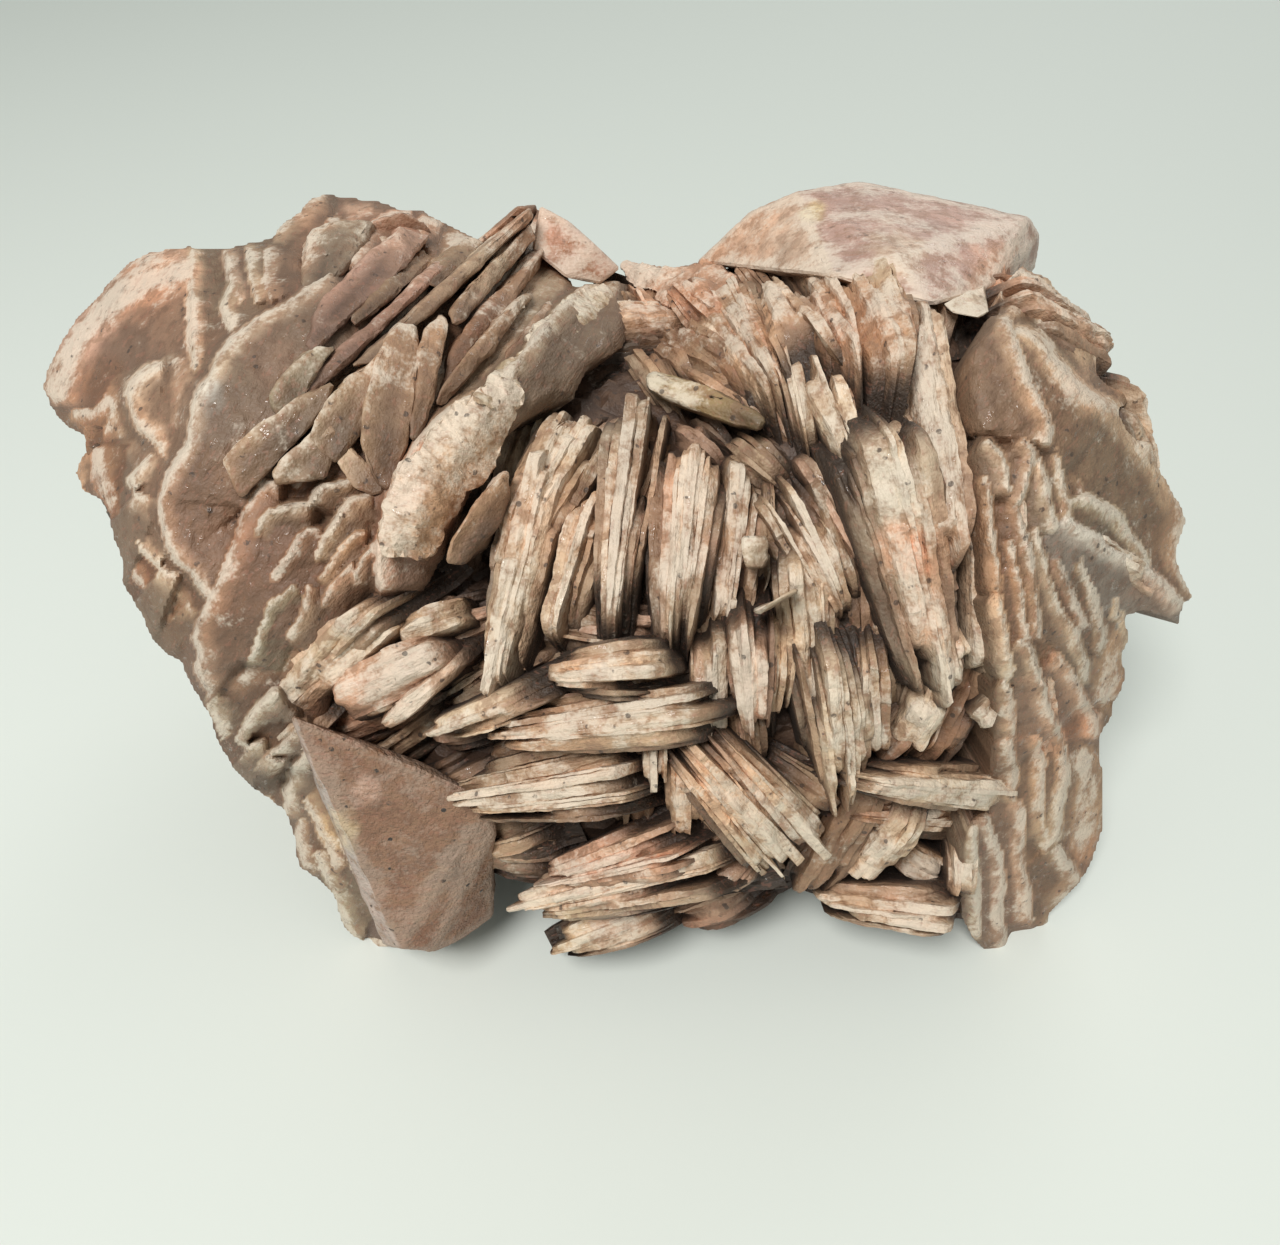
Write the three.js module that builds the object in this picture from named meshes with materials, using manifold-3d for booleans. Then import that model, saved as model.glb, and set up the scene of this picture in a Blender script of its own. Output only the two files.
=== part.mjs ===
// A cluster of bladed barite crystals, 130 mm wide: one natural piece, grown together.
// Millimetres, +Z up, +X to the right and -Y towards the viewer. It rests on the flat where it broke off.
import * as THREE from "three";
import Module from "manifold-3d";
import { ConvexGeometry } from "three/addons/geometries/ConvexGeometry.js";
import { mergeVertices } from "three/addons/utils/BufferGeometryUtils.js";

// The crystals are laid out as they are seen from the viewpoint, in mm on a plane square to the sight:
// [across, up] from its centre. Each place is then carried along its sight line to the body.
const VIEWPOINT = new THREE.Vector3(0, -90.9, 130.4);
const VIEW_DIP = THREE.MathUtils.degToRad(46.15);
const PLANE_DISTANCE = 131.25;

// The middle of the box round the finished cluster, which becomes the origin.
const BOX_MIDDLE = [-3.4, 9.1];

// The body is a union of rounded lobes: [centre, radii].
const LOBES = [
  [[-30, 12, 43], [37, 35, 31]],
  [[27, 11, 41], [34, 35, 37]],
  [[3, 5, 27], [55, 36, 33]],
  [[0, 8, 41], [42, 36, 27]],
];
const CORE_SHARE = 0.98; // how much of each lobe is solid behind the crystals
const BODY_CENTRE = new THREE.Vector3(0, 10, 38);
const REACH = 9; // how far a blade goes into the body
const FAR_STANDING = 1.5; // how far the blades of the far side stand out of it
const UNEVEN = 0.9; // how much neighbouring blades differ in height
const FAR_LEAN = 12; // degrees
const FAR_TAPER = 0.35;
const BLADE_OVERLAP = 1.03; // a blade is this much thicker than its share of the sheaf
const LEAN_IN = 0.35; // how far blades turn from the sight line to the body's own outward direction

const STONE = { color: 0xb59f92, roughness: 0.62, metalness: 0 };

// Sheaves of parallel blades: [name, start, end, width, lean of the blades in degrees, number of
// blades, how far they stand out of the body, how much their ends taper].
const SHEAVES = [
  ["fan_of_small_plates", [-50.5, 40.3], [-45.2, 47.8], 7.2, 35, 2, 0, 0.3],
  ["upper_left_ridge_1", [-32.5, 41.3], [-26.0, 50.8], 3.0, 25, 1, 1, 0.3],
  ["top_bar", [-41.0, 34.7], [-31.0, 50.1], 5.0, 25, 1, 2, 0.2],
  ["long_bar_1", [-45.6, 27.2], [-29.8, 42.4], 3.2, 30, 1, 2, 0.2],
  ["square_bar", [-51.0, 17.8], [-36.9, 31.8], 5.2, 25, 1, 2, 0.1],
  ["short_bar", [-45.5, 18.4], [-36.9, 24.7], 3.2, 25, 1, 1, 0.2],
  ["long_bar_2", [-40.9, 22.2], [-30.0, 36.6], 4.5, 30, 1, 2, 0.2],
  ["upright_bar_1", [-33.5, 17.6], [-29.8, 35.9], 3.8, 20, 1, 2, 0.3],
  ["upright_bar_2", [-29.4, 20.9], [-25.0, 38.8], 3.2, 20, 1, 1, 0.3],
  ["dark_blade_1", [-30.6, 37.2], [-16.8, 51.6], 3.0, 20, 1, 1, 0.3],
  ["dark_blade_2", [-23.5, 38.1], [-12.4, 52.3], 2.5, 10, 1, 2, 0.3],
  ["dark_blade_3", [-25.0, 27.8], [-10.0, 43.4], 3.8, 15, 1, 0, 0.3],
  ["dark_blade_4", [-26.9, 23.4], [-11.9, 40.3], 2.5, 15, 1, -1, 0.3],
  ["shingle_1", [-47.2, 7.6], [-40.0, 15.1], 3.8, 25, 1, 3, 0.3],
  ["shingle_2", [-44.4, 4.3], [-37.5, 11.6], 3.5, 25, 1, 3, 0.3],
  ["shingle_3", [-39.4, 6.9], [-31.2, 15.3], 5.0, 25, 1, 2, 0.3],
  ["shingle_4", [-36.2, 2.6], [-31.9, 10.9], 3.8, 25, 1, 2, 0.3],
  ["shingle_5", [-42.5, -0.7], [-36.9, 7.6], 4.0, 25, 1, 3, 0.3],
  ["glossy_band_low", [-53.5, -8.2], [-62.5, 7.8], 3.2, -30, 1, -3, 0.2],
  ["glossy_band_high", [-62.1, 7.2], [-66.0, 20.9], 3.2, -30, 1, -3, 0.2],
  ["low_left_1", [-46.0, -21.9], [-52.2, -9.7], 4.2, -20, 1, -4, 0.3],
  ["low_left_2", [-38.8, -30.7], [-44.5, -17.8], 5.5, -20, 1, -4, 0.3],
  ["diagonal_1", [-49.6, -15.2], [-33.1, 3.6], 4.5, 20, 2, 4, 0.3],
  ["diagonal_2", [-43.8, -9.9], [-30.6, 1.8], 4.0, 20, 2, 2, 0.3],
  ["diagonal_3", [-32.5, -1.4], [-20.2, 2.8], 3.2, 20, 1, 2, 0.3],
  ["pink_plate", [-42.8, -11.7], [-23.5, -2.3], 5.2, 20, 2, 4, 0.3],
  ["pink_rod", [-35.0, -15.3], [-22.2, -4.2], 2.5, 10, 1, 4, 0.5],
  ["diagonal_plate_side", [-23.5, 2.6], [-16.0, 19.7], 4.5, 20, 1, 3, 0.3],
  ["striated_group", [-16.9, 10.3], [-6.2, 29.7], 7.8, 15, 3, 3, 0.3],
  ["long_blade", [-20.2, -11.2], [-12.5, 24.1], 5.8, 15, 3, 4, 0.5],
  ["second_blade", [-12.2, -4.2], [-5.0, 19.1], 4.5, 15, 2, 1, 0.4],
  ["middle_pillar", [-4.6, -2.9], [0.0, 34.1], 5.8, 5, 3, 5, 0.6],
  ["middle_sliver", [-5.0, -2.2], [-3.1, 12.8], 1.8, 0, 1, 2, 0.6],
  ["right_pillar", [3.5, -5.7], [6.5, 27.2], 7.5, 5, 3, 4, 0.5],
  ["behind_pillar", [11.2, -3.7], [13.8, 23.4], 6.2, -10, 2, -1, 0.3],
  ["orange_blades", [3.5, 36.1], [-2.5, 42.8], 3.2, 0, 1, 0, 0.6],
  ["shadow_fan", [17.5, 29.6], [7.5, 45.1], 10.0, -20, 3, 0, 0.4],
  ["shadow_blades", [15.0, 27.1], [4.0, 35.9], 3.2, -10, 1, -4, 0.4],
  ["thin_right_1", [21.0, 22.6], [16.9, 40.3], 2.5, -5, 1, 1, 0.5],
  ["thin_right_2", [28.5, 17.6], [21.0, 37.2], 4.5, -10, 3, 2, 0.5],
  ["thin_right_3", [28.5, 20.3], [23.5, 35.8], 2.8, -10, 1, 0, 0.5],
  ["inner_blades", [27.5, -1.2], [16.9, 20.3], 7.8, -15, 2, 0, 0.5],
  ["hanging_fan_1", [28.5, 35.1], [20.0, 48.4], 7.5, -20, 2, 1, 0.5],
  ["hanging_fan_2", [34.4, 36.3], [26.2, 48.4], 9.0, -20, 3, 1, 0.5],
  ["lower_blades_1", [14.8, -17.9], [13.8, 1.3], 5.0, 5, 3, 3, 0.4],
  ["lower_blades_2", [16.9, -14.9], [17.8, 2.2], 3.5, 5, 1, 1, 0.4],
  ["middle_wall", [21.9, -16.2], [20.0, 10.3], 5.8, 10, 2, 1, 0.3],
  ["pointed_sheaf", [26.6, -29.4], [24.4, -2.2], 7.0, -5, 3, 5, 0.6],
  ["pointed_sheaf_side", [29.8, -19.7], [29.5, -3.4], 3.2, -5, 2, 2, 0.3],
  ["pale_square", [32.5, -17.4], [36.9, -10.3], 3.8, -10, 1, -3, 0.1],
  ["long_right_plate", [41.0, 6.1], [34.4, 44.1], 5.8, -20, 2, 3, 0.2],
  ["grey_white_sheaf", [40.0, -15.4], [30.6, 28.2], 8.8, -15, 3, 5, 0.4],
  ["grey_white_side", [35.6, 17.8], [32.5, 27.8], 3.0, -15, 1, 2, 0.3],
  ["right_plate_1", [50.0, 20.9], [43.8, 38.1], 5.8, -20, 2, 4, 0.2],
  ["right_cream_1", [56.5, 27.6], [47.5, 44.7], 6.5, -25, 2, 0, 0.2],
  ["right_cream_2", [56.0, 31.3], [51.5, 42.8], 4.2, -25, 1, -2, 0.2],
  ["glassy_streak", [69.2, 2.8], [53.8, 12.8], 2.0, -20, 1, 2, 0.3],
  ["column_1", [43.8, -10.3], [43.5, 15.3], 2.8, -20, 1, 1, 0.2],
  ["column_2", [46.5, -10.3], [45.8, 16.6], 2.8, -25, 1, 2, 0.2],
  ["column_3", [49.2, -12.2], [48.5, 17.8], 3.0, -25, 1, 2, 0.2],
  ["column_4", [52.2, -15.3], [51.2, 15.3], 3.2, -25, 1, 2, 0.2],
  ["column_5", [55.5, -15.3], [54.5, 10.3], 3.5, -30, 1, 1, 0.2],
  ["column_6", [58.5, -15.3], [58.0, 6.6], 3.5, -30, 1, -1, 0.2],
  ["column_7", [44.5, -40.9], [44.0, -28.4], 3.2, -15, 1, 1, 0.2],
  ["column_8", [48.0, -40.4], [47.5, -9.7], 3.5, -20, 1, 1, 0.2],
  ["column_9", [51.2, -37.7], [50.8, -12.2], 3.5, -25, 1, 1, 0.2],
  ["column_10", [54.2, -35.4], [54.0, -12.2], 3.5, -25, 1, 0, 0.2],
  ["column_11", [56.8, -31.7], [57.2, -14.7], 3.2, -30, 1, -2, 0.2],
  ["low_column", [49.6, -20.7], [49.6, -4.7], 5.8, -20, 2, 4, 0.2],
  ["upper_lens", [-15.2, -6.7], [6.5, -5.2], 6.2, 5, 3, 7, 0.7],
  ["long_tip", [-33.1, -16.6], [-10.0, -8.7], 3.2, 0, 2, 7, 0.7],
  ["stepped_edge", [-25.0, -14.9], [11.9, -10.7], 6.5, 5, 2, 6, 0.5],
  ["second_sheaf", [-28.1, -22.9], [0.6, -18.9], 7.5, 5, 3, 5, 0.4],
  ["slats_1", [1.9, -22.9], [1.9, -15.3], 2.5, 0, 1, 3, 0.2],
  ["slats_2", [8.8, -17.4], [8.8, -1.6], 4.0, 0, 1, 1, 0.2],
  ["lower_lobe_1", [-16.9, -33.7], [6.2, -27.9], 5.2, 10, 2, 5, 0.6],
  ["lower_lobe_2", [-19.8, -37.2], [10.0, -30.2], 7.5, 15, 3, 5, 0.6],
  ["lower_lobe_3", [-15.0, -42.4], [4.0, -35.4], 5.2, 20, 2, 3, 0.5],
  ["cross_sheaf_1", [3.1, -15.3], [20.0, -34.7], 6.2, 5, 3, 4, 0.4],
  ["cross_sheaf_2", [10.0, -14.7], [26.2, -32.4], 4.5, 5, 2, 5, 0.4],
  ["cream_sheaf", [28.1, -20.2], [51.2, -22.2], 5.2, 5, 3, 5, 0.5],
  ["cream_sheaf_under", [28.1, -24.2], [43.1, -23.7], 3.8, 10, 1, 0, 0.3],
  ["rod_1", [26.2, -32.9], [31.9, -27.2], 2.2, 0, 1, 2, 0.3],
  ["rod_2", [28.8, -34.9], [36.2, -24.7], 2.8, 0, 1, 2, 0.3],
  ["pale_column", [41.2, -38.4], [41.2, -29.1], 2.8, 0, 1, 3, 0.2],
  ["bottom_sheaf", [18.2, -34.9], [43.1, -37.4], 5.0, 10, 2, 2, 0.4],
];

// Broad single crystals: [name, thickness, corners as [across, up, how far it stands out]].
const PLATES = [
  ["left_lobe", 7, [
    [-74.1, 32.2, -2], [-72.5, 35.9, -2], [-69.4, 39.7, -2], [-65.6, 44.3, -2], [-60.6, 46.7, -2], [-55.0, 47.1, -1],
    [-51.2, 47.2, 0], [-51.5, 41.6, 1], [-54.4, 31.6, 2], [-62.5, 32.2, 2],
  ]],
  ["left_cheek", 8, [
    [-75.0, 29.7, -3], [-74.1, 32.6, -3], [-70.0, 34.1, 0], [-62.5, 32.6, 0], [-61.2, 23.2, 1], [-65.2, 22.8, -1],
    [-72.8, 25.1, -3],
  ]],
  ["left_ear", 3, [
    [-70.9, 19.1, -5], [-69.6, 21.8, -5], [-66.9, 21.8, -3], [-65.2, 15.3, -3], [-67.5, 14.9, -5], [-70.0, 16.6, -5],
  ]],
  ["scalloped_plate", 3, [
    [-62.5, 32.2, 3], [-59.4, 32.6, 3], [-54.4, 30.9, 2], [-56.2, 24.1, 2], [-58.5, 19.7, 2], [-61.2, 23.2, 3],
    [-63.4, 25.9, 3], [-64.0, 28.1, 3],
  ]],
  ["big_scalloped_plate", 4, [
    [-42.5, 40.3, 3], [-48.1, 39.1, 5], [-53.5, 32.2, 5], [-56.2, 26.6, 5], [-59.0, 18.4, 4], [-60.0, 14.7, 3],
    [-51.2, 15.3, 3], [-46.2, 25.3, 3], [-42.5, 34.1, 2],
  ]],
  ["lower_scallop", 4, [
    [-59.0, 15.3, 2], [-60.0, 12.8, 2], [-57.8, 7.8, 1], [-55.0, 4.1, 1], [-53.8, 2.8, 1], [-50.6, 10.3, 2],
    [-47.2, 17.8, 2], [-51.2, 17.8, 2],
  ]],
  ["pale_shingles", 3, [
    [-63.8, 17.8, 0], [-61.2, 22.8, 0], [-58.1, 20.3, 1], [-59.4, 14.1, 1], [-55.6, 7.8, 0], [-53.1, 2.8, 0],
    [-56.2, 3.4, -1], [-61.2, 7.2, -1], [-63.4, 12.8, -1],
  ]],
  ["layered_edges", 5, [
    [-65.0, 7.8, -5], [-61.2, 5.3, -3], [-53.8, 2.8, -3], [-55.0, -8.4, -4], [-57.8, -4.7, -5], [-62.8, 1.9, -5],
  ]],
  ["knob", 6, [
    [-46.0, 49.3, -1], [-44.6, 50.7, -1], [-42.5, 52.4, -1], [-39.0, 54.1, -1], [-34.4, 53.2, -1], [-36.9, 47.2, 2],
    [-42.5, 45.1, 2], [-44.4, 46.6, 1],
  ]],
  ["knob_side", 5, [
    [-42.5, 45.1, 2], [-37.5, 49.7, 0], [-34.8, 52.9, -1], [-30.6, 52.4, -1], [-25.0, 50.8, -1], [-30.0, 45.1, 2],
    [-36.9, 40.3, 3], [-41.9, 40.3, 3],
  ]],
  ["diagonal_plate_top", 5, [
    [-2.5, 42.4, 3], [-6.9, 41.9, 4], [-14.0, 35.1, 5], [-25.0, 26.6, 6], [-21.2, 19.1, 4], [-15.6, 22.8, 4],
    [-5.0, 32.8, 4], [0.0, 36.6, 2],
  ]],
  ["diagonal_plate_foot", 5, [
    [-25.0, 26.6, 6], [-28.8, 20.9, 6], [-31.9, 14.1, 5], [-33.5, 5.3, 4], [-25.0, 4.1, 3], [-20.0, 17.8, 3],
    [-17.5, 22.8, 4],
  ]],
  ["dark_glassy", 6, [
    [-11.9, 52.2, -1], [-13.4, 46.6, 2], [-9.0, 42.2, 3], [-5.0, 42.8, 3], [-2.5, 44.7, 1], [-6.2, 47.4, -1],
    [-8.8, 50.1, -1],
  ]],
  ["brown_slab", 6, [
    [-47.2, 18.1, 2], [-50.6, 10.3, 3], [-54.4, 2.2, 3], [-55.6, -2.2, 2], [-55.0, -7.8, 1], [-53.1, -12.2, 0],
    [-48.8, -11.6, 1], [-38.8, 2.8, 2], [-41.2, 12.8, 2], [-42.5, 17.8, 2],
  ]],
  ["fragment", 2, [
    [12.2, 43.4, 3], [15.6, 44.9, 3], [18.1, 43.4, 3], [18.8, 40.6, 3], [14.6, 41.3, 3],
  ]],
  ["lower_left_body", 8, [
    [-55.0, -8.4, -5], [-48.8, -14.1, 0], [-42.5, -17.2, 1], [-37.5, -35.3, -2], [-40.0, -32.2, -5], [-42.9, -31.6, -6],
    [-43.1, -25.9, -6], [-48.8, -21.6, -7], [-53.1, -14.7, -6],
  ]],
  ["broad_rhomb", 8, [
    [-43.8, -11.3, 5], [-39.8, -15.3, 7], [-34.4, -24.7, 7], [-31.2, -33.4, 5], [-28.8, -40.3, 1], [-23.8, -40.3, 0],
    [-18.8, -36.9, 0], [-21.2, -25.9, 2], [-26.2, -19.1, 3], [-37.5, -12.4, 4], [-33.1, -40.3, 0], [-36.9, -34.7, 1],
    [-38.8, -25.9, 3],
  ]],
  ["rough_yellow_side", 8, [
    [-36.9, -16.2, 2], [-42.5, -17.4, 1], [-44.4, -20.9, -1], [-42.9, -25.9, -2], [-42.9, -31.6, -4], [-38.8, -35.3, -4],
    [-37.5, -39.1, -4], [-31.9, -40.3, -3], [-31.9, -32.2, 1], [-34.4, -24.7, 3],
  ]],
  ["top_crystal", 10, [
    [7.5, 45.6, 0], [10.6, 50.1, -2], [15.0, 53.1, -4], [18.8, 54.1, -4], [25.0, 55.3, -6], [30.0, 54.6, -6],
    [37.5, 53.1, -6], [47.5, 51.2, -6], [49.8, 47.8, -4], [49.4, 43.8, -2], [43.1, 41.8, 3], [36.9, 39.7, 4],
    [30.0, 41.3, 4], [18.8, 47.8, 4], [16.9, 45.1, 3],
  ]],
  ["great_right_plate", 4, [
    [46.9, 36.6, 3], [50.0, 35.3, 3], [55.6, 28.1, 3], [62.5, 23.4, 0], [68.4, 13.4, -3], [69.5, 3.1, -3],
    [63.8, 7.8, 1], [53.8, 14.7, 4], [52.5, 17.8, 4], [51.2, 26.6, 4],
  ]],
  ["second_right_plate", 3, [
    [53.1, 15.3, 2], [62.5, 15.3, 0], [68.1, 7.6, -3], [62.5, 9.1, 0], [55.6, 9.7, 2],
  ]],
  ["pink_corner", 3, [
    [59.4, 5.9, -1], [63.8, 6.3, -2], [67.8, 2.8, -4], [67.5, -0.6, -4], [63.1, 1.1, -3], [60.2, 1.3, -2],
  ]],
  ["right_edge_plates", 6, [
    [57.5, 17.8, -2], [62.5, 10.3, -3], [61.2, -2.2, -6], [60.9, -6.6, -6], [59.4, -12.2, -7], [57.9, -15.9, -7],
    [55.6, -9.7, -2], [55.0, 7.8, -1],
  ]],
];

// Sheaves on the sides that the viewpoint doesn't show: [turn round the body from the front in
// degrees, angle above the middle, run of the blades from upright, length, width, number of blades].
const FAR_SHEAVES = [
  [66, -32, -30, 30, 22, 2],
  [96, -26, 15, 34, 24, 2],
  [130, -28, -20, 34, 26, 2],
  [164, -24, 30, 34, 28, 2],
  [200, -27, -10, 34, 28, 2],
  [234, -26, 25, 32, 26, 2],
  [288, -38, -25, 28, 20, 2],
  [98, 0, 8, 34, 20, 3],
  [120, 8, -12, 36, 24, 3],
  [144, 4, 18, 38, 26, 3],
  [174, 8, -20, 38, 26, 3],
  [204, 4, 12, 38, 26, 3],
  [232, 8, -8, 34, 24, 3],
  [252, -4, -12, 28, 16, 2],
  [114, 30, 30, 26, 20, 2],
  [138, 34, -35, 32, 22, 3],
  [162, 34, 25, 34, 22, 3],
  [186, 36, -25, 34, 22, 3],
  [210, 34, 40, 34, 22, 3],
  [234, 36, -30, 28, 20, 2],
  [178, 66, 75, 22, 18, 2],
];

const wasm = await Module();
wasm.setup();

// A repeatable number between -1 and 1.
let seed = 7;
function uneven() {
  seed = (seed * 16807) % 2147483647;
  return (seed / 2147483647) * 2 - 1;
}

function solidOf(geometry) {
  const bare = geometry.clone();
  bare.deleteAttribute("normal");
  bare.deleteAttribute("uv");
  const merged = mergeVertices(bare, 1e-4);
  const triVerts = merged.index
    ? new Uint32Array(merged.index.array)
    : Uint32Array.from({ length: merged.attributes.position.count }, (_, i) => i);
  return new wasm.Manifold(
    new wasm.Mesh({ numProp: 3, vertProperties: merged.attributes.position.array, triVerts }),
  );
}

// The unit direction from the viewpoint to a place on the plane.
function sightTo(across, up) {
  const forward = new THREE.Vector3(0, Math.cos(VIEW_DIP), -Math.sin(VIEW_DIP));
  const upward = new THREE.Vector3(0, Math.sin(VIEW_DIP), Math.cos(VIEW_DIP));
  return forward
    .multiplyScalar(PLANE_DISTANCE)
    .addScaledVector(upward, up)
    .add(new THREE.Vector3(across, 0, 0))
    .normalize();
}

// Where a line first meets the lobes, or where it passes closest, with the outward direction there.
function meetBody(from, direction) {
  let best = null;
  for (const [centre, radii] of LOBES) {
    const r = new THREE.Vector3(...radii);
    const start = from.clone().sub(new THREE.Vector3(...centre)).divide(r);
    const step = direction.clone().divide(r);
    const a = step.dot(step);
    const b = start.dot(step);
    const gap = start.dot(start) - 1 - (b * b) / a;
    const along = gap < 0 ? (-b - Math.sqrt(-gap * a)) / a : -b / a;
    const miss = Math.max(gap, 0);
    if (best === null || miss < best.miss || (miss === best.miss && along < best.along)) {
      const outward = start.addScaledVector(step, along).divide(r).normalize();
      best = { miss, along, outward };
    }
  }
  return best;
}

// A place on the body behind [across, up], standing out of it towards the viewpoint.
function onBody(across, up, standing) {
  const direction = sightTo(across, up);
  const { along, outward } = meetBody(VIEWPOINT, direction);
  const point = VIEWPOINT.clone().addScaledVector(direction, along - standing);
  return { point, outward, toViewer: direction.negate(), distance: along };
}

// One blade: a long four-sided tablet with its outer edge along x and its depth along -y.
function blade(length, reach, thickness, taper) {
  const half = length / 2;
  const slope = half * (0.05 + 0.4 * taper);
  const outline = new THREE.Shape([
    new THREE.Vector2(-half + slope, 0),
    new THREE.Vector2(-half, -reach),
    new THREE.Vector2(half, -reach),
    new THREE.Vector2(half - slope, 0),
  ]);
  return new THREE.ExtrudeGeometry(outline, { depth: thickness, bevelEnabled: false })
    .translate(0, 0, -thickness / 2);
}

// Blades side by side at a centre, running along one direction and leaning about it.
function sheaf(centre, along, outward, length, width, lean, count, reach, taper) {
  const out = outward.clone().addScaledVector(along, -outward.dot(along)).normalize();
  const side = along.clone().cross(out);
  const turn = THREE.MathUtils.degToRad(lean);
  const face = side.clone().multiplyScalar(Math.cos(turn)).addScaledVector(out, Math.sin(turn));
  const edge = face.clone().cross(along);
  const pitch = width / count;
  const blades = [];
  for (let i = 0; i < count; i += 1) {
    const place = centre
      .clone()
      .addScaledVector(side, (i - (count - 1) / 2) * pitch)
      .addScaledVector(out, UNEVEN * uneven())
      .addScaledVector(along, 0.04 * length * uneven());
    const share = 1 - (0.12 * (1 + uneven())) / 2 - taper * 0.3 * Math.abs((2 * i + 1) / count - 1);
    const thickness = pitch * Math.cos(turn) * BLADE_OVERLAP;
    const matrix = new THREE.Matrix4().makeBasis(along, edge, face).setPosition(place);
    blades.push(solidOf(blade(length * share, reach, thickness, taper).applyMatrix4(matrix)));
  }
  return blades;
}

function seenSheaf([, start, end, width, lean, count, standing, taper]) {
  const a = onBody(start[0], start[1], standing);
  const b = onBody(end[0], end[1], standing);
  const middle = onBody((start[0] + end[0]) / 2, (start[1] + end[1]) / 2, standing);
  const centre = a.point.clone().add(b.point).multiplyScalar(0.5).lerp(middle.point, 0.5);
  const along = b.point.clone().sub(a.point);
  const length = along.length();
  along.normalize();
  const outward = middle.toViewer.lerp(middle.outward, LEAN_IN).normalize();
  const scale = middle.distance / PLANE_DISTANCE;
  const reach = standing + REACH;
  return sheaf(centre, along, outward, length, width * scale, lean, count, reach, taper);
}

function farSheaf([turn, rise, run, length, width, count]) {
  const round = THREE.MathUtils.degToRad(turn);
  const height = THREE.MathUtils.degToRad(rise);
  const direction = new THREE.Vector3(
    Math.sin(round) * Math.cos(height),
    -Math.cos(round) * Math.cos(height),
    Math.sin(height),
  );
  const far = BODY_CENTRE.clone().addScaledVector(direction, 200);
  const { along, outward } = meetBody(far, direction.clone().negate());
  const centre = far.addScaledVector(direction, FAR_STANDING - along);
  const level = new THREE.Vector3(0, 0, 1).cross(outward).normalize();
  const upright = outward.clone().cross(level);
  const angle = THREE.MathUtils.degToRad(run);
  const axis = upright.multiplyScalar(Math.cos(angle)).addScaledVector(level, Math.sin(angle));
  const reach = FAR_STANDING + REACH;
  return sheaf(centre, axis, outward, length, width, FAR_LEAN, count, reach, FAR_TAPER);
}

// The plane that lies best along the corners of a closed outline.
function planeOf(points) {
  const middle = new THREE.Vector3();
  const normal = new THREE.Vector3();
  points.forEach((point, i) => {
    const next = points[(i + 1) % points.length];
    middle.addScaledVector(point, 1 / points.length);
    normal.add(point.clone().cross(next));
  });
  return new THREE.Plane().setFromNormalAndCoplanarPoint(normal.normalize(), middle);
}

// A broad crystal: a flat front face, its corners on their sight lines, and the same face behind it.
function plate([, thickness, corners]) {
  const seen = corners.map(([across, up, standing]) => onBody(across, up, standing));
  const plane = planeOf(seen.map(({ point }) => point));
  const points = [];
  for (const { toViewer } of seen) {
    const sight = new THREE.Ray(VIEWPOINT, toViewer.clone().negate());
    const front = sight.intersectPlane(plane, new THREE.Vector3());
    const back = front.clone().addScaledVector(toViewer, -thickness);
    points.push(front, back);
  }
  return solidOf(new ConvexGeometry(points));
}

// The solid middle that all the crystals grow from.
function core() {
  const parts = LOBES.map(([centre, radii]) =>
    solidOf(
      new THREE.IcosahedronGeometry(CORE_SHARE, 1).scale(...radii).translate(...centre),
    ),
  );
  return parts.reduce((whole, part) => whole.add(part));
}

// What would reach below the table is broken off flat.
function broken(whole) {
  const below = new THREE.BoxGeometry(300, 300, 100).translate(0, 0, -50);
  return whole.subtract(solidOf(below));
}

const crystals = [
  ...SHEAVES.flatMap(seenSheaf),
  ...FAR_SHEAVES.flatMap(farSheaf),
  ...PLATES.map(plate),
];
const whole = broken(crystals.reduce((all, one) => all.add(one), core()));
const grown = whole.decompose().sort((a, b) => b.volume() - a.volume())[0];

const { vertProperties, triVerts } = grown.getMesh();
const geometry = new THREE.BufferGeometry();
geometry.setAttribute("position", new THREE.BufferAttribute(vertProperties, 3));
geometry.setIndex(new THREE.BufferAttribute(triVerts, 1));
geometry.translate(-BOX_MIDDLE[0], -BOX_MIDDLE[1], 0);
geometry.computeVertexNormals();

const cluster = new THREE.Mesh(geometry, new THREE.MeshStandardMaterial(STONE));
cluster.name = "barite_cluster";

const root = new THREE.Group();
root.add(cluster);
export default root;
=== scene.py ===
import math
import random

import bmesh
import bpy
from mathutils import Matrix, Vector, noise


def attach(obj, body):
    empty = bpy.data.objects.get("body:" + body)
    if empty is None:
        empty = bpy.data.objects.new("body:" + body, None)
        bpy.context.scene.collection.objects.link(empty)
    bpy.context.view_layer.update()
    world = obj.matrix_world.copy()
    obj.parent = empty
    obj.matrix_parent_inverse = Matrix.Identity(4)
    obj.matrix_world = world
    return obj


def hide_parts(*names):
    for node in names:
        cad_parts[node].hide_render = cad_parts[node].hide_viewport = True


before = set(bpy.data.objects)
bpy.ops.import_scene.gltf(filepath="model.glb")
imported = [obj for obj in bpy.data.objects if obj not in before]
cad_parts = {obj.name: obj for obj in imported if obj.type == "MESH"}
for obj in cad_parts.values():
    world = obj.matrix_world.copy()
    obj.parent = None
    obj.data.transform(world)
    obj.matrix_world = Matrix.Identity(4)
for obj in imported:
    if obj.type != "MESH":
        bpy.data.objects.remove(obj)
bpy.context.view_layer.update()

# The noise that moves a point three ways takes its seed from the clock, unless it is given one.
NOISE_SEED = 7
noise.seed_set(NOISE_SEED)

# The crystals are laid out in millimetres, as in the CAD, and go to metres when a piece is finished.
MM = 0.001

# Places are [across, up] on a plane square to the sight, then carried along the sight line to the body.
VIEWPOINT = Vector((0, -90.9, 130.4))
VIEW_DIP = math.radians(46.15)
PLANE_DISTANCE = 131.25
BOX_MIDDLE = Vector((-3.4, 9.1, 0))

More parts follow.
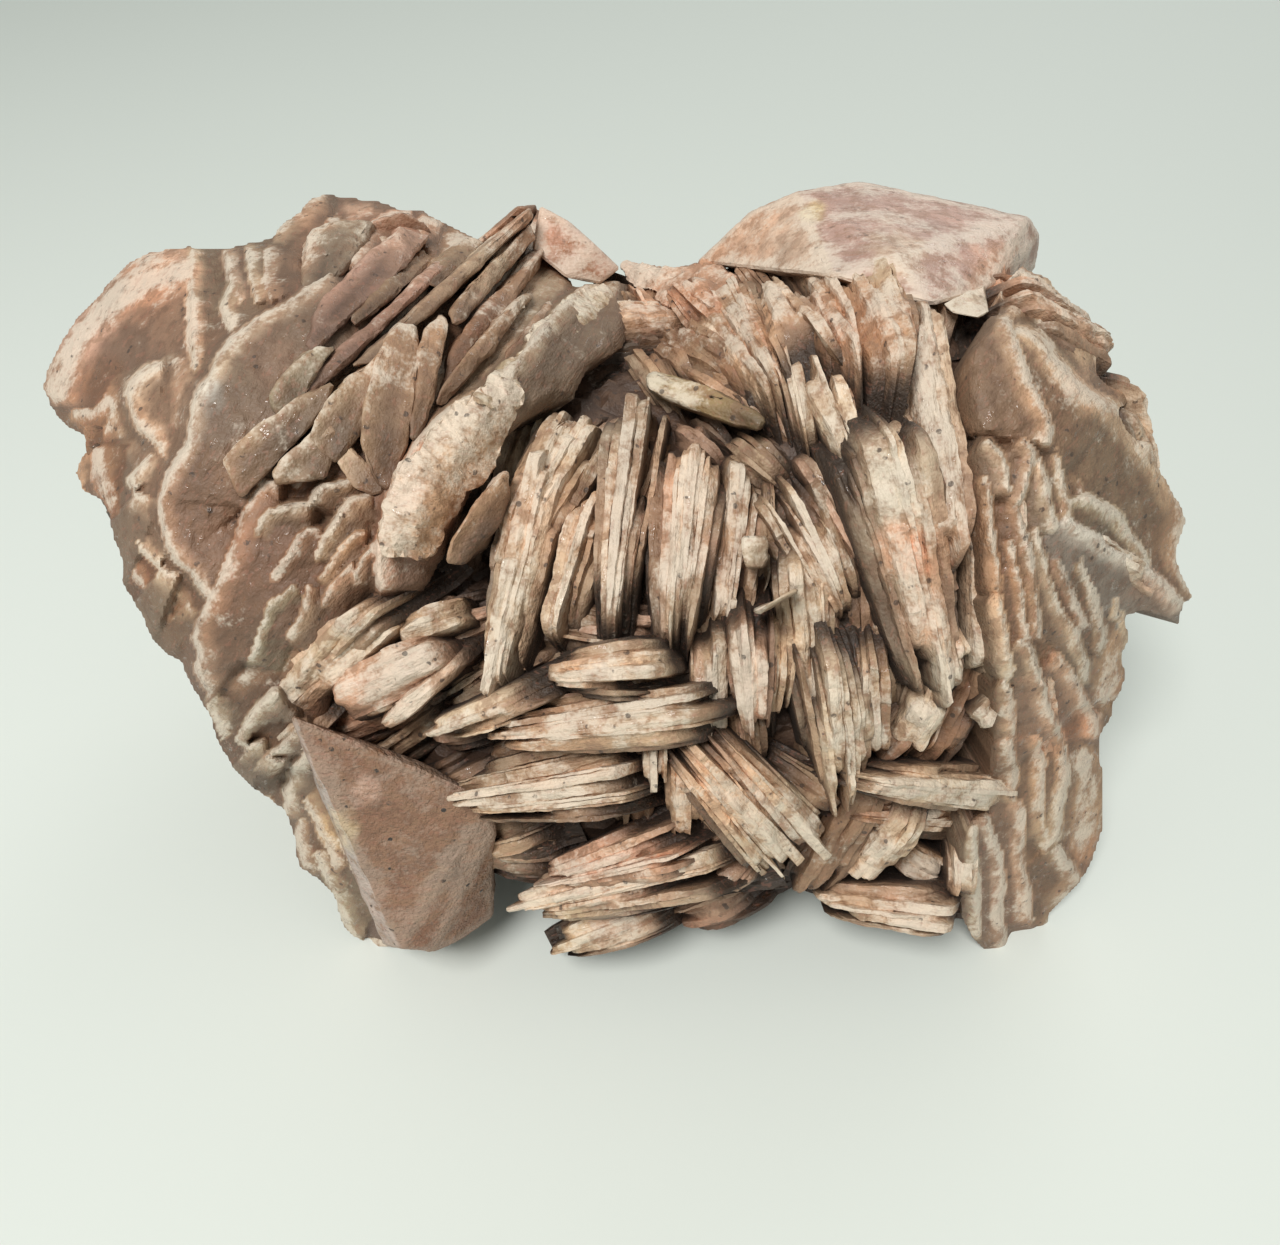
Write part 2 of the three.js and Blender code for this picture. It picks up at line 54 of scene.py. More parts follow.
# The body is a union of rounded lobes: (centre, radii).
LOBES = [
    (Vector((-30, 12, 43)), Vector((37, 35, 31))),
    (Vector((27, 11, 41)), Vector((34, 35, 37))),
    (Vector((3, 5, 27)), Vector((55, 36, 33))),
    (Vector((0, 8, 41)), Vector((42, 36, 27))),
]
CORE_SHARE = 0.85
BODY_CENTRE = Vector((0, 10, 38))
REACH = 8
FAR_STANDING = 1.5
LEAN_IN = 0.35
STEP = 0.4
GRAIN_LINE = Vector((0.4, 0.5, 0.8))
# The side the light comes from: some crystals are painted paler towards it and darker away from it, as painted
# light and shade.
LIT_SIDE = Vector((-0.75, 0.45, 0.45))
# Grid steps around a spot whose mean level tells how deep it lies in a hollow, for the painted shade there.
AROUND = [(4, 0), (-4, 0), (0, 4), (0, -4), (3, 3), (-3, 3), (3, -3), (-3, -3)]
FACETED = ["broad_rhomb", "top_crystal", "dark_glassy", "white_fragment"]
# Tones of the faces turned left and right, partly the crystal's own and partly painted light and shade: faces
# turned left, towards the light, are painted paler, and the top crystal's right face darker.
SIDE_TONES = {"broad_rhomb": ("lavender", "umberrose"), "top_crystal": ("paleblush", "darkblush")}

# Stone colours, linear.
TONES = {
    "cream": (0.672, 0.499, 0.332),
    "grey": (0.560, 0.425, 0.294),
    "tan": (0.526, 0.352, 0.214),
    "rose": (0.627, 0.378, 0.252),
    "peach": (0.700, 0.395, 0.245),
    "brown": (0.414, 0.226, 0.119),
    "olive": (0.470, 0.352, 0.162),
    "mauve": (0.650, 0.389, 0.285),
    "wine": (0.403, 0.173, 0.109),
    "amber": (0.560, 0.304, 0.157),
    "yellow": (0.672, 0.509, 0.275),
    "clear": (0.694, 0.567, 0.427),
    "lavender": (0.40, 0.32, 0.285),
    "paleblush": (0.62, 0.43, 0.31),
    "olivegrey": (0.470, 0.367, 0.233),
    # Near black, painted on the middle of the body as shade in the gaps between the crystals.
    "umber": (0.060, 0.032, 0.020),
    "white": (0.74, 0.68, 0.58),
    "redbrown": (0.448, 0.200, 0.095),
    "darkblush": (0.44, 0.275, 0.215),
    "topmauve": (0.49, 0.300, 0.240),
    "umberrose": (0.24, 0.12, 0.068),
    "brownrose": (0.493, 0.289, 0.171),
}

# Patches of another colour, on the plane: (across, up, radius, tone, share).
FLUSHES = [
    (-59.5, 42.0, 6.5, "peach", 0.75),
    (-58.0, 37.0, 5.0, "peach", 0.8),
    (-67.0, 29.5, 4.5, "redbrown", 0.6),
    (-70.0, 36.0, 5.0, "mauve", 0.5),
    (-51.0, 32.0, 3.5, "cream", 0.4),
    (-49.5, 19.0, 5.0, "amber", 0.5),
    (-46.0, 33.0, 4.0, "rose", 0.5),
    (-52.0, 0.0, 3.5, "redbrown", 0.4),
    (-40.5, 51.0, 3.5, "peach", 0.5),
    (-42.0, 46.0, 3.0, "peach", 0.6),
    (-29.0, 47.0, 5.0, "peach", 0.35),
    (-14.0, 49.0, 6.0, "peach", 0.6),
    (-8.0, 45.0, 4.0, "redbrown", 0.5),
    (-29.0, 17.0, 4.0, "peach", 0.4),
    (-38.0, -9.0, 5.0, "peach", 0.35),
    (12.0, 49.0, 6.0, "peach", 0.7),
    (21.5, 51.5, 1.8, "yellow", 0.9),
    (32.0, 46.0, 4.5, "cream", 0.5),
    (45.0, 44.0, 5.0, "peach", 0.5),
    (3.0, 37.0, 6.0, "redbrown", 0.5),
    (8.5, 43.0, 5.0, "redbrown", 0.45),
    (33.0, 9.0, 4.2, "peach", 0.85),
    (35.0, 0.0, 4.5, "rose", 0.5),
    (49.5, -12.0, 5.5, "peach", 0.7),
    (57.0, 30.0, 5.0, "peach", 0.4),
    (64.0, 3.0, 4.0, "peach", 0.5),
    (9.0, 8.0, 3.5, "rose", 0.5),
    (-8.0, -30.0, 6.0, "rose", 0.45),
    (-9.0, -39.0, 4.5, "yellow", 0.45),
    (-15.0, -37.0, 3.0, "peach", 0.4),
    (35.0, -36.0, 7.0, "rose", 0.4),
    (-53.5, 28.1, 2.3, "white", 0.9),
    (-67.0, 24.0, 6.0, "brown", 0.6),
    (-34.5, -21.0, 2.5, "mauve", 0.6),
    (-37.5, -26.0, 3.0, "yellow", 0.5),
]

# Sheaves of parallel blades, by piece: (name, start, end, width, lean in degrees, blade thickness,
# how far they stand out of the body, taper of the ends, spread of a fan in degrees, tone).
SHEAVES = {
    "lower_left_bars": [
        ("diagonal_1", (-49.6, -15.2), (-33.1, 3.6), 4.5, 20, 1.3, 4, 0.3, 0, "cream"),
        ("diagonal_2", (-43.8, -9.9), (-30.6, 1.8), 4.0, 20, 1.1, 2, 0.3, 0, "tan"),
        ("diagonal_3", (-32.5, -1.4), (-20.2, 2.8), 3.2, 20, 1, 2, 0.3, 0, "tan"),
        ("pink_plate", (-42.8, -11.7), (-23.5, -2.3), 5.2, 20, 1.8, 4, 0.3, 0, "rose"),
        ("pink_rod", (-35.0, -15.3), (-22.2, -4.2), 2.5, 10, 0.9, 4, 0.5, 0, "rose"),
        ("lumps", (-38.1, -11.7), (-29.8, -8.4), 3.2, 10, 1.2, 3, 0.4, 0, "tan"),
        ("pale_block", (-46.2, -17.6), (-42.5, -14.3), 3.0, 10, 1.6, 3, 0.1, 0, "cream"),
    ],
    "centre_sheaves": [
        ("striated_group", (-16.9, 10.3), (-6.2, 29.7), 7.8, 15, 0.55, 3, 0.3, 5, "tan"),
        ("long_blade", (-20.2, -11.2), (-12.5, 24.1), 5.8, 15, 0.7, 4, 0.5, 3, "grey"),
        ("second_blade", (-12.2, -4.2), (-5.0, 19.1), 4.5, 15, 0.7, 1, 0.4, 3, "tan"),
        ("middle_pillar", (-4.6, -2.9), (0.0, 34.1), 5.8, 5, 0.6, 5, 0.6, 4, "grey"),
        ("middle_sliver", (-5.0, -2.2), (-3.1, 12.8), 1.8, 0, 0.6, 2, 0.6, 0, "cream"),
        ("right_pillar", (3.5, -5.7), (6.5, 27.2), 7.5, 5, 0.6, 4, 0.5, 6, "grey"),
        ("behind_pillar", (11.2, -3.7), (13.8, 23.4), 6.2, -10, 0.55, -1, 0.3, 4, "tan"),
        ("orange_blades", (3.5, 36.1), (-2.5, 42.8), 3.2, 0, 0.7, 0, 0.6, 10, "peach"),
        ("saddle_blades_1", (-3.0, 45.4), (3.0, 37.2), 4.5, 0, 0.8, 3, 0.4, 12, "peach"),
        ("saddle_blades_2", (1.5, 45.2), (9.5, 38.5), 4.5, 0, 0.8, 3, 0.4, 12, "rose"),
        ("shadow_fan", (17.5, 29.6), (7.5, 45.1), 10.0, -20, 0.6, 0, 0.4, 12, "tan"),
        ("shadow_blades", (15.0, 27.1), (4.0, 35.9), 3.2, -10, 0.6, -4, 0.4, 0, "brown"),
    ],
    "upper_right_blades": [
        ("thin_right_1", (21.0, 22.6), (16.9, 40.3), 2.5, -5, 0.6, 1, 0.5, 0, "tan"),
        ("pale_head", (14.0, 46.0), (20.5, 35.5), 4.5, -5, 1.2, 4.5, 0.3, 8, "cream"),
        ("thin_right_2", (28.5, 17.6), (21.0, 37.2), 4.5, -10, 0.6, 2, 0.5, 6, "cream"),
        ("thin_right_3", (28.5, 20.3), (23.5, 35.8), 2.8, -10, 0.6, 0, 0.5, 0, "tan"),
        ("inner_blades", (27.5, -1.2), (16.9, 20.3), 7.8, -15, 0.5, 0, 0.5, 8, "tan"),
        ("hanging_fan_1", (28.5, 34.5), (20.0, 48.0), 6.0, -20, 0.9, 4.5, 0.4, 5, "brownrose"),
        ("hanging_fan_2", (34.0, 34.0), (26.8, 49.0), 7.0, -20, 0.9, 5.5, 0.4, 5, "tan"),
    ],
    "lower_middle_blades": [
        ("lower_blades_1", (14.8, -17.9), (13.8, 1.3), 5.0, 5, 0.6, 3, 0.4, 6, "rose"),
        ("lower_blades_2", (16.9, -14.9), (17.8, 2.2), 3.5, 5, 0.6, 1, 0.4, 4, "tan"),
        ("middle_wall", (21.9, -16.2), (20.0, 10.3), 5.8, 10, 0.7, 1, 0.3, 4, "tan"),
        ("pointed_sheaf", (26.6, -29.4), (24.4, -2.2), 7.0, -5, 0.6, 5, 0.6, 6, "cream"),
        ("pointed_sheaf_side", (29.8, -19.7), (29.5, -3.4), 3.2, -5, 0.7, 2, 0.3, 0, "tan"),
        ("pale_square", (32.5, -17.4), (36.9, -10.3), 3.8, -10, 2, 0, 0.1, 0, "cream"),
    ],
    "right_sheaves": [
        ("long_right_plate", (41.0, 6.1), (34.4, 44.1), 5.8, -20, 1.4, 3, 0.2, 0, "grey"),
        ("grey_white_sheaf", (40.0, -15.4), (30.6, 28.2), 8.8, -15, 0.8, 5, 0.4, 5, "grey"),
        ("grey_white_side", (35.6, 17.8), (32.5, 27.8), 3.0, -15, 0.8, 2, 0.3, 0, "grey"),
        ("glassy_streak", (69.2, 2.8), (53.8, 12.8), 2.0, -20, 0.8, 2, 0.3, 0, "clear"),
    ],
    "right_columns": [
        ("column_1", (43.8, -10.3), (43.5, 15.3), 2.8, -20, 1.3, 1, 0.2, 0, "grey"),
        ("column_2", (46.5, -10.3), (45.8, 16.6), 2.8, -25, 1.3, 2, 0.2, 0, "grey"),
        ("column_3", (49.2, -12.2), (48.5, 17.8), 3.0, -25, 1.4, 2, 0.2, 0, "tan"),
        ("low_column", (49.6, -20.7), (49.6, -4.7), 5.8, -20, 1.7, 4, 0.2, 0, "peach"),
    ],
    "lower_lenses": [
        ("upper_lens", (-15.2, -6.7), (6.5, -5.2), 6.2, 5, 0.6, 7, 0.7, 6, "cream"),
        ("long_tip", (-33.1, -16.6), (-10.0, -8.7), 3.2, 0, 0.8, 7, 0.7, 3, "cream"),
        ("stepped_edge", (-25.0, -14.9), (11.9, -10.7), 6.5, 5, 0.6, 6, 0.5, 4, "tan"),
        ("second_sheaf", (-28.1, -22.9), (0.6, -18.9), 7.5, 5, 0.6, 5, 0.4, 6, "tan"),
        ("slats_1", (1.9, -22.9), (1.9, -15.3), 2.5, 0, 0.6, 3, 0.2, 0, "tan"),
        ("slats_2", (8.8, -17.4), (8.8, -1.6), 4.0, 0, 0.6, 1, 0.2, 0, "tan"),
        ("slats_3", (5.6, -29.2), (5.6, -15.9), 4.0, 0, 0.6, 2, 0.2, 0, "tan"),
        ("lower_lobe_1", (-16.9, -33.7), (6.2, -27.9), 5.2, 10, 0.6, 5, 0.6, 8, "rose"),
        ("lower_lobe_2", (-19.8, -37.2), (10.0, -30.2), 7.5, 15, 0.6, 5, 0.6, 8, "cream"),
        ("lower_lobe_3", (-15.0, -42.4), (4.0, -35.4), 5.2, 20, 0.8, 3, 0.5, 6, "rose"),
        ("small_lobe", (8.1, -34.3), (13.1, -31.9), 3.8, 0, 0.8, 1, 0.3, 0, "rose"),
    ],
    "lower_right_sheaves": [
        ("cross_sheaf_1", (6.0, -16.5), (21.5, -33.4), 7.0, 5, 0.7, 5, 0.3, 4, "cream"),
        ("cross_sheaf_2", (10.0, -14.7), (26.2, -32.4), 4.5, 5, 0.6, 5, 0.4, 4, "cream"),
        ("cream_sheaf", (27.6, -20.4), (51.2, -22.0), 4.6, 5, 0.7, 6, 0.5, 4, "cream"),
        ("cream_sheaf_under", (28.1, -24.2), (43.1, -23.7), 3.8, 10, 0.6, 0, 0.3, 4, "brown"),
        ("rod_1", (26.2, -32.9), (31.9, -27.2), 2.2, 0, 0.8, 2, 0.3, 0, "tan"),
        ("rod_2", (26.4, -33.8), (34.8, -25.2), 4.2, 0, 0.8, 4, 0.2, 0, "cream"),
        ("small_bars", (33.1, -29.9), (39.4, -32.9), 3.2, 0, 0.8, 1, 0.2, 0, "tan"),
        ("small_uprights", (40.8, -30.2), (40.8, -24.7), 2.8, 0, 0.8, 1, 0.2, 0, "cream"),
        ("pale_column", (41.0, -36.4), (40.6, -26.0), 2.6, 0, 0.8, 4, 0.2, 0, "cream"),
        ("bottom_sheaf", (19.5, -35.0), (42.5, -37.6), 4.8, 10, 0.8, 4, 0.4, 4, "cream"),
        ("small_ledge", (41.2, -14.1), (45.2, -10.3), 2.2, 0, 1.2, 3, 0.1, 0, "cream"),
        ("small_plates", (40.8, -7.4), (40.8, -1.2), 2.2, -20, 1, 2, 0.1, 0, "cream"),
    ],
}

# Overlapping plates: (tone, fall of the face, steepness of the rim's lit side, width, rim as
# (across, up, standing)).
LEFT_RIMS = [
    ("rose", 0.12, 0.45, 20, [
        (-72.2, 27.8, -3.5), (-70.0, 34.7, -2), (-66.2, 39.1, -0.8), (-61.2, 42.2, 0.3),
        (-56.2, 43.4, 1.2),
    ]),
    ("brownrose", 0.15, 0.5, 16, [
        (-70.6, 25.9, -5), (-66.2, 27.8, -3), (-62.5, 24.1, -2.4), (-59.4, 20.3, -1.6),
    ]),
    ("tan", 0.9, 1.0, 3, [
        (-55.9, 46.6, 0.8), (-56.1, 40.3, 2.4), (-55.8, 35.3, 3.0), (-55.5, 31.6, 3.2),
    ]),
    ("grey", 0.5, 1.6, 4, [
        (-51.8, 46.6, 1.2), (-51.4, 43.1, 2.6), (-50.0, 40.3, 3.4),
    ]),
    ("cream", 0.5, 1.8, 4, [
        (-49.1, 47.1, 1.4), (-48.9, 43.8, 3.0), (-47.8, 40.3, 4),
    ]),
    ("cream", 0.4, 1.6, 4, [
        (-51.2, 42.3, 3.4), (-52.2, 39.3, 3.6), (-51.0, 36.6, 3.6),
    ]),
    ("rose", 0.5, 1.5, 4, [
        (-46.5, 46.6, 1.8), (-47.2, 42.8, 3.4), (-46.2, 40.3, 4.4),
    ]),
    ("cream", 0.22, 2.6, 9, [
        (-60.0, 32.4, 1.6), (-61.5, 32.3, 1.8), (-63.6, 30.1, 2.2), (-64.0, 28.3, 2.4), (-63.4, 26.1, 2.4),
        (-62.6, 24.3, 2.2), (-61.2, 23.1, 2), (-59.8, 21.1, 1.6), (-58.6, 19.6, 1.4),
    ]),
    ("rose", 0.42, 3.5, 11, [
        (-38.8, 43.8, 3.4), (-41.2, 42.1, 4.4), (-44.2, 39.9, 5), (-46.8, 38.8, 5.4), (-48.8, 37.3, 5.8),
        (-51.0, 35.6, 6.2), (-52.8, 33.3, 6.6), (-53.5, 31.3, 6.8), (-55.0, 29.9, 7), (-55.8, 27.8, 7),
        (-56.4, 24.1, 6.8), (-56.6, 22.4, 6.5), (-57.9, 20.3, 6.2), (-59.1, 18.7, 6), (-59.6, 16.9, 5.8),
        (-60.2, 15.3, 5.6), (-59.9, 13.7, 5.2), (-59.6, 11.9, 4.8), (-58.9, 9.6, 4.4), (-57.8, 7.6, 4),
        (-56.2, 6.2, 3.6), (-55.4, 4.7, 3.2), (-54.1, 2.7, 2.8),
    ]),
    ("grey", 0.25, 2.4, 8, [
        (-61.2, 20.9, 1.2), (-62.8, 19.3, 1.4), (-63.8, 17.8, 1.4), (-63.2, 16.3, 1.4), (-61.4, 15.6, 1.6),
        (-60.2, 15.1, 1.8),
    ]),
    ("cream", 0.25, 2.4, 8, [
        (-63.0, 15.7, 0.4), (-63.5, 12.9, 0.4), (-63.2, 11.2, 0.4), (-62.5, 9.1, 0.4), (-61.1, 7.8, 0.6),
        (-60.1, 6.8, 0.8), (-57.8, 5.9, 1),
    ]),
    ("redbrown", 0.1, 1.2, 12, [
        (-67.9, 21.6, -2), (-67.5, 17.8, -1.6), (-66.8, 14.6, -1.6), (-65.0, 10.2, -1.6),
        (-63.5, 6.6, -1.6), (-61.2, 3.2, -1.8), (-58.0, -1.2, -2.6), (-55.5, -5.7, -2.4),
        (-53.8, -9.1, -2.2),
    ]),
    ("cream", 0.3, 1.4, 5, [
        (-69.0, 21.6, -4.6), (-70.8, 19.3, -4.8), (-70.0, 16.8, -5), (-67.5, 15.1, -4.6),
    ]),
    ("tan", 0.2, 1.4, 6, [
        (-66.8, 14.1, -5), (-65.9, 10.3, -5.2), (-64.6, 7.1, -5.4), (-64.9, 5.3, -5.2), (-63.8, 2.8, -5),
        (-62.2, 0.4, -5), (-61.0, -2.3, -5), (-59.4, -4.1, -4.8), (-57.8, -4.9, -4.6),
    ]),
    ("tan", 0.3, 2.0, 6, [
        (-58.5, 4.1, -1), (-57.0, 2.3, -1), (-55.2, 1.3, 0),
    ]),
    ("brown", 0.3, 2.0, 5, [
        (-61.8, 1.6, -3), (-59.0, 0.8, -2), (-56.2, 0.1, -1.2),
    ]),
    ("cream", 0.25, 2.0, 6, [
        (-57.5, -5.3, -4.4), (-56.8, -8.4, -4.6), (-55.5, -11.2, -4.8),
    ]),
    ("tan", 0.3, 2.4, 7, [
        (-53.5, -8.7, 0.8), (-54.1, -9.7, 0.6), (-53.9, -11.2, 0.4), (-53.0, -12.9, 0),
        (-52.2, -14.4, -0.4),
    ]),
    ("brownrose", 0.16, 3.0, 16, [
        (-45.4, 17.8, 2.4), (-47.5, 17.7, 2.8), (-48.9, 14.9, 3), (-50.1, 11.9, 3.2), (-51.2, 9.1, 3.4),
        (-52.6, 5.6, 3.6), (-54.1, 2.4, 3.6), (-55.1, 0.2, 3.2), (-55.6, -1.7, 3.2), (-55.0, -4.1, 2.8),
        (-55.4, -6.2, 2.6), (-54.5, -7.9, 2.2), (-53.5, -8.7, 2),
    ]),
    ("olivegrey", 0.5, 2.4, 5, [
        (-48.2, 10.9, 3.4), (-47.5, 13.1, 3.6), (-46.2, 14.1, 3.6), (-44.2, 14.6, 3.4), (-41.5, 14.9, 3.0),
    ]),
    ("olivegrey", 0.6, 2.4, 4.5, [
        (-41.0, 15.3, 3.2), (-40.4, 16.6, 3.4), (-39.2, 17.3, 3.2), (-37.1, 17.7, 2.6), (-35.6, 18.1, 2.0),
    ]),
    ("olivegrey", 0.55, 2.4, 5, [
        (-40.6, 8.3, 3.0), (-39.9, 10.3, 3.4), (-38.9, 11.9, 3.6), (-37.5, 13.9, 3.6), (-36.0, 15.3, 3.4),
        (-34.0, 16.1, 2.6),
    ]),
    ("brownrose", 0.6, 2.2, 4.5, [
        (-46.2, 5.6, 3.0), (-45.0, 7.3, 3.4), (-43.9, 8.9, 3.6), (-42.6, 10.8, 3.6), (-41.6, 11.7, 3.5),
        (-40.2, 11.8, 3.0),
    ]),
    ("tan", 0.6, 2.2, 4, [
        (-40.2, 5.7, 2.8), (-39.2, 6.7, 3.0), (-38.2, 8.3, 3.2), (-37.2, 9.6, 3.3), (-35.9, 11.1, 3.2),
        (-34.5, 11.4, 2.8),
    ]),
    ("tan", 0.7, 2.2, 3.5, [
        (-39.8, 2.3, 2.6), (-38.5, 4.7, 3.0), (-37.2, 6.3, 3.2), (-36.1, 7.1, 3.0),
    ]),
    ("tan", 0.7, 2.2, 3.5, [
        (-36.0, 5.3, 2.6), (-34.6, 8.3, 3.0), (-33.8, 9.2, 3.0), (-33.0, 10.2, 3.0),
    ]),
    ("olivegrey", 0.6, 2.2, 4, [
        (-48.9, -4.4, 2.8), (-48.0, -2.3, 3.0), (-47.2, 0.3, 3.2), (-47.0, 1.6, 3.3), (-46.0, 2.7, 3.3),
        (-44.6, 3.9, 3.2), (-43.5, 4.7, 3.0),
    ]),
    ("tan", 0.7, 2.2, 3.5, [
        (-44.1, -1.7, 2.8), (-43.2, -0.4, 3.0), (-42.5, 0.6, 3.2), (-41.9, 2.3, 3.2), (-41.6, 4.3, 3.0),
    ]),
    ("grey", 0.3, 1.8, 6, [
        (-46.1, 47.8, -0.6), (-45.1, 49.8, -1.4), (-43.8, 50.8, -1.8), (-42.6, 51.6, -2),
        (-41.8, 52.7, -2.6), (-40.0, 53.6, -3),
    ]),
    ("rose", 0.4, 2.0, 6, [
        (-36.2, 45.1, 2.4), (-34.9, 48.3, 1), (-33.2, 49.9, 0), (-31.0, 51.1, -1), (-29.0, 51.4, -1.6),
    ]),
    ("rose", 0.4, 1.6, 6, [
        (-28.5, 48.3, -0.2), (-26.9, 50.6, -1.4), (-25.0, 50.3, -2),
    ]),
    ("brown", 0.15, 0.5, 12, [
        (-44.4, 34.1, 1.2), (-40.0, 41.6, 0.4), (-36.0, 49.1, -2.4),
    ]),
    ("brown", 0.15, 0.5, 12, [
        (-42.5, 20.3, 1.4), (-36.2, 29.1, 0.8), (-27.5, 40.3, -0.8), (-21.2, 47.8, -3.4),
    ]),
    ("brown", 0.15, 0.5, 12, [
        (-30.0, 22.8, 0.2), (-23.8, 31.6, -0.6), (-16.2, 41.6, -2.4), (-11.2, 47.8, -3.4),
    ]),
    ("cream", 0.35, 3.2, 5.5, [
        (-26.9, 23.8, 6.4), (-25.5, 25.3, 6.4), (-23.8, 26.8, 6.4), (-22.2, 27.8, 6.4), (-19.5, 28.9, 6.4),
        (-18.1, 30.3, 6.4), (-16.2, 32.2, 6.3), (-15.0, 33.1, 6.2), (-13.8, 34.6, 6), (-13.4, 35.9, 5.9),
        (-12.6, 36.9, 5.8), (-11.2, 37.8, 5.6), (-10.2, 39.2, 5.4), (-8.9, 40.6, 5), (-7.5, 41.8, 4.6),
        (-5.5, 42.6, 4), (-3.2, 42.9, 3.2),
    ]),
    ("rose", 0.35, 3.2, 6, [
        (-32.6, 4.1, 3.4), (-33.0, 7.1, 4.2), (-32.9, 9.7, 4.8), (-32.1, 12.8, 5.4), (-31.8, 15.3, 5.8),
        (-30.9, 17.2, 6), (-29.8, 19.6, 6.2), (-28.5, 21.6, 6.3), (-26.9, 23.8, 6.4),
    ]),
    ("brown", 0.1, 0.5, 30, [
        (-47.2, 12.8, -1.5), (-42.5, 17.8, -0.4), (-36.9, 22.8, -0.2), (-30.0, 27.8, -0.6),
        (-21.2, 36.6, -2), (-12.5, 45.3, -3.6),
    ]),
    ("brown", 0.1, 0.5, 30, [
        (-50.6, -8.4, -1.6), (-47.2, -17.2, -1.2), (-42.5, -25.9, -1), (-37.5, -33.4, -1),
    ]),
    ("brown", 0.1, 0.5, 30, [
        (-61.2, 15.3, -1.6), (-58.8, 7.8, -1.4), (-55.0, 0.3, -1), (-51.2, -7.2, -0.4), (-38.8, -2.2, 0.4),
    ]),
    ("cream", 0.35, 2.2, 6, [
        (-45.6, -8.4, 3), (-47.8, -10.3, 2.8), (-49.2, -12.4, 2.4), (-50.2, -14.4, 2.2),
        (-49.0, -15.4, 1.6), (-47.2, -14.9, 1.2),
    ]),
    ("grey", 0.45, 2, 5, [
        (-42.2, -12.4, 3), (-43.8, -14.1, 2.8), (-45.0, -15.7, 2.6), (-46.5, -16.8, 2.4),
        (-45.0, -17.7, 2.2),
    ]),
    ("cream", 0.4, 2.4, 5, [
        (-41.2, -15.9, 3.4), (-42.2, -17.2, 3.4), (-43.8, -18.7, 3.2), (-43.6, -19.7, 3.2),
        (-44.4, -20.9, 3), (-44.1, -21.9, 2.8), (-44.6, -23.7, 2.4),
    ]),
    ("tan", 0.2, 0.8, 6, [
        (-54.4, -11.6, -3), (-53.5, -14.7, -3), (-52.2, -17.2, -3.4), (-50.6, -19.1, -3.4),
        (-48.1, -21.6, -3.4), (-44.6, -24.1, -3), (-43.5, -26.6, -3.4), (-43.2, -30.9, -4),
        (-41.2, -32.2, -4),
    ]),
    ("grey", 0.35, 1.6, 4, [
        (-47.2, -17.2, 0.8), (-48.8, -19.1, 0.4), (-47.2, -21.6, -0.2), (-45.0, -22.9, -0.8),
    ]),
    ("yellow", 0.4, 2, 5, [
        (-42.0, -22.2, 3.2), (-41.0, -23.7, 3.4), (-40.0, -25.9, 3.4), (-38.8, -28.2, 3.2),
        (-37.8, -30.7, 3),
    ]),
    ("olivegrey", 0.3, 1.5, 6, [
        (-40.2, -29.1, 1.8), (-39.0, -32.2, 1.6), (-38.0, -35.3, 1.2), (-36.9, -38.4, 0.6),
        (-35.0, -40.3, 0), (-30.6, -40.9, 0),
    ]),
    ("tan", 0.3, 1.2, 5, [
        (-42.5, -24.1, 1), (-42.8, -27.2, 0.4), (-41.9, -30.3, 0), (-40.0, -32.2, -0.4),
    ]),
    ("lavender", 0.3, 1.5, 4, [
        (-37.5, -27.2, 4), (-36.0, -29.7, 4), (-34.2, -32.8, 3.6), (-32.5, -35.9, 3), (-31.0, -39.7, 2),
    ]),
]
LEFT_OUTLINE = [
    (-74.5, 31.3), (-72.9, 34.7), (-70.6, 38.4), (-68.1, 40.9), (-66.0, 43.6), (-64.1, 45.1),
    (-61.2, 46.6), (-56.9, 47.2), (-52.0, 46.9), (-48.8, 47.8), (-46.1, 48.2), (-45.1, 50.1),
    (-43.8, 50.9), (-42.5, 51.8), (-41.8, 52.9), (-39.8, 53.8), (-36.2, 53.4), (-32.5, 52.9),
    (-30.0, 51.9), (-26.9, 51.7), (-25.0, 50.7), (-22.2, 49.1), (-20.0, 48.1), (-18.2, 49.9),
    (-15.1, 51.1), (-14.5, 50.6), (-13.0, 52.3), (-11.2, 50.1), (-9.8, 45.1), (-8.1, 42.2), (-3.5, 43.1),
    (-1.0, 42.6), (0.0, 39.1), (-1.9, 34.1), (-6.2, 31.6), (-8.1, 27.8), (-13.8, 25.3), (-16.9, 22.8),
    (-20.0, 17.8), (-22.5, 12.8), (-24.4, 7.8), (-27.5, 2.8), (-32.5, -2.2), (-38.8, -8.4), (-38.8, -13.4),
    (-36.9, -19.1), (-34.4, -25.9), (-31.0, -33.4), (-30.0, -40.9), (-33.1, -40.9), (-36.2, -39.4),
    (-37.5, -37.8), (-38.4, -34.7), (-40.2, -32.4), (-43.0, -30.7), (-43.5, -26.6), (-44.6, -23.7),
    (-48.8, -20.9), (-51.5, -17.8), (-53.2, -14.9), (-54.2, -11.2), (-56.2, -8.4), (-57.8, -4.9),
    (-59.6, -4.1), (-61.2, -2.2), (-62.5, 0.6), (-64.0, 3.1), (-65.1, 5.3), (-64.8, 7.2), (-66.0, 10.3),
    (-66.8, 13.8), (-67.5, 15.1), (-69.8, 16.2), (-71.0, 18.8), (-70.0, 20.9), (-69.0, 22.1),
    (-69.5, 23.1), (-71.8, 24.3), (-73.9, 26.6), (-75.0, 29.3),
]
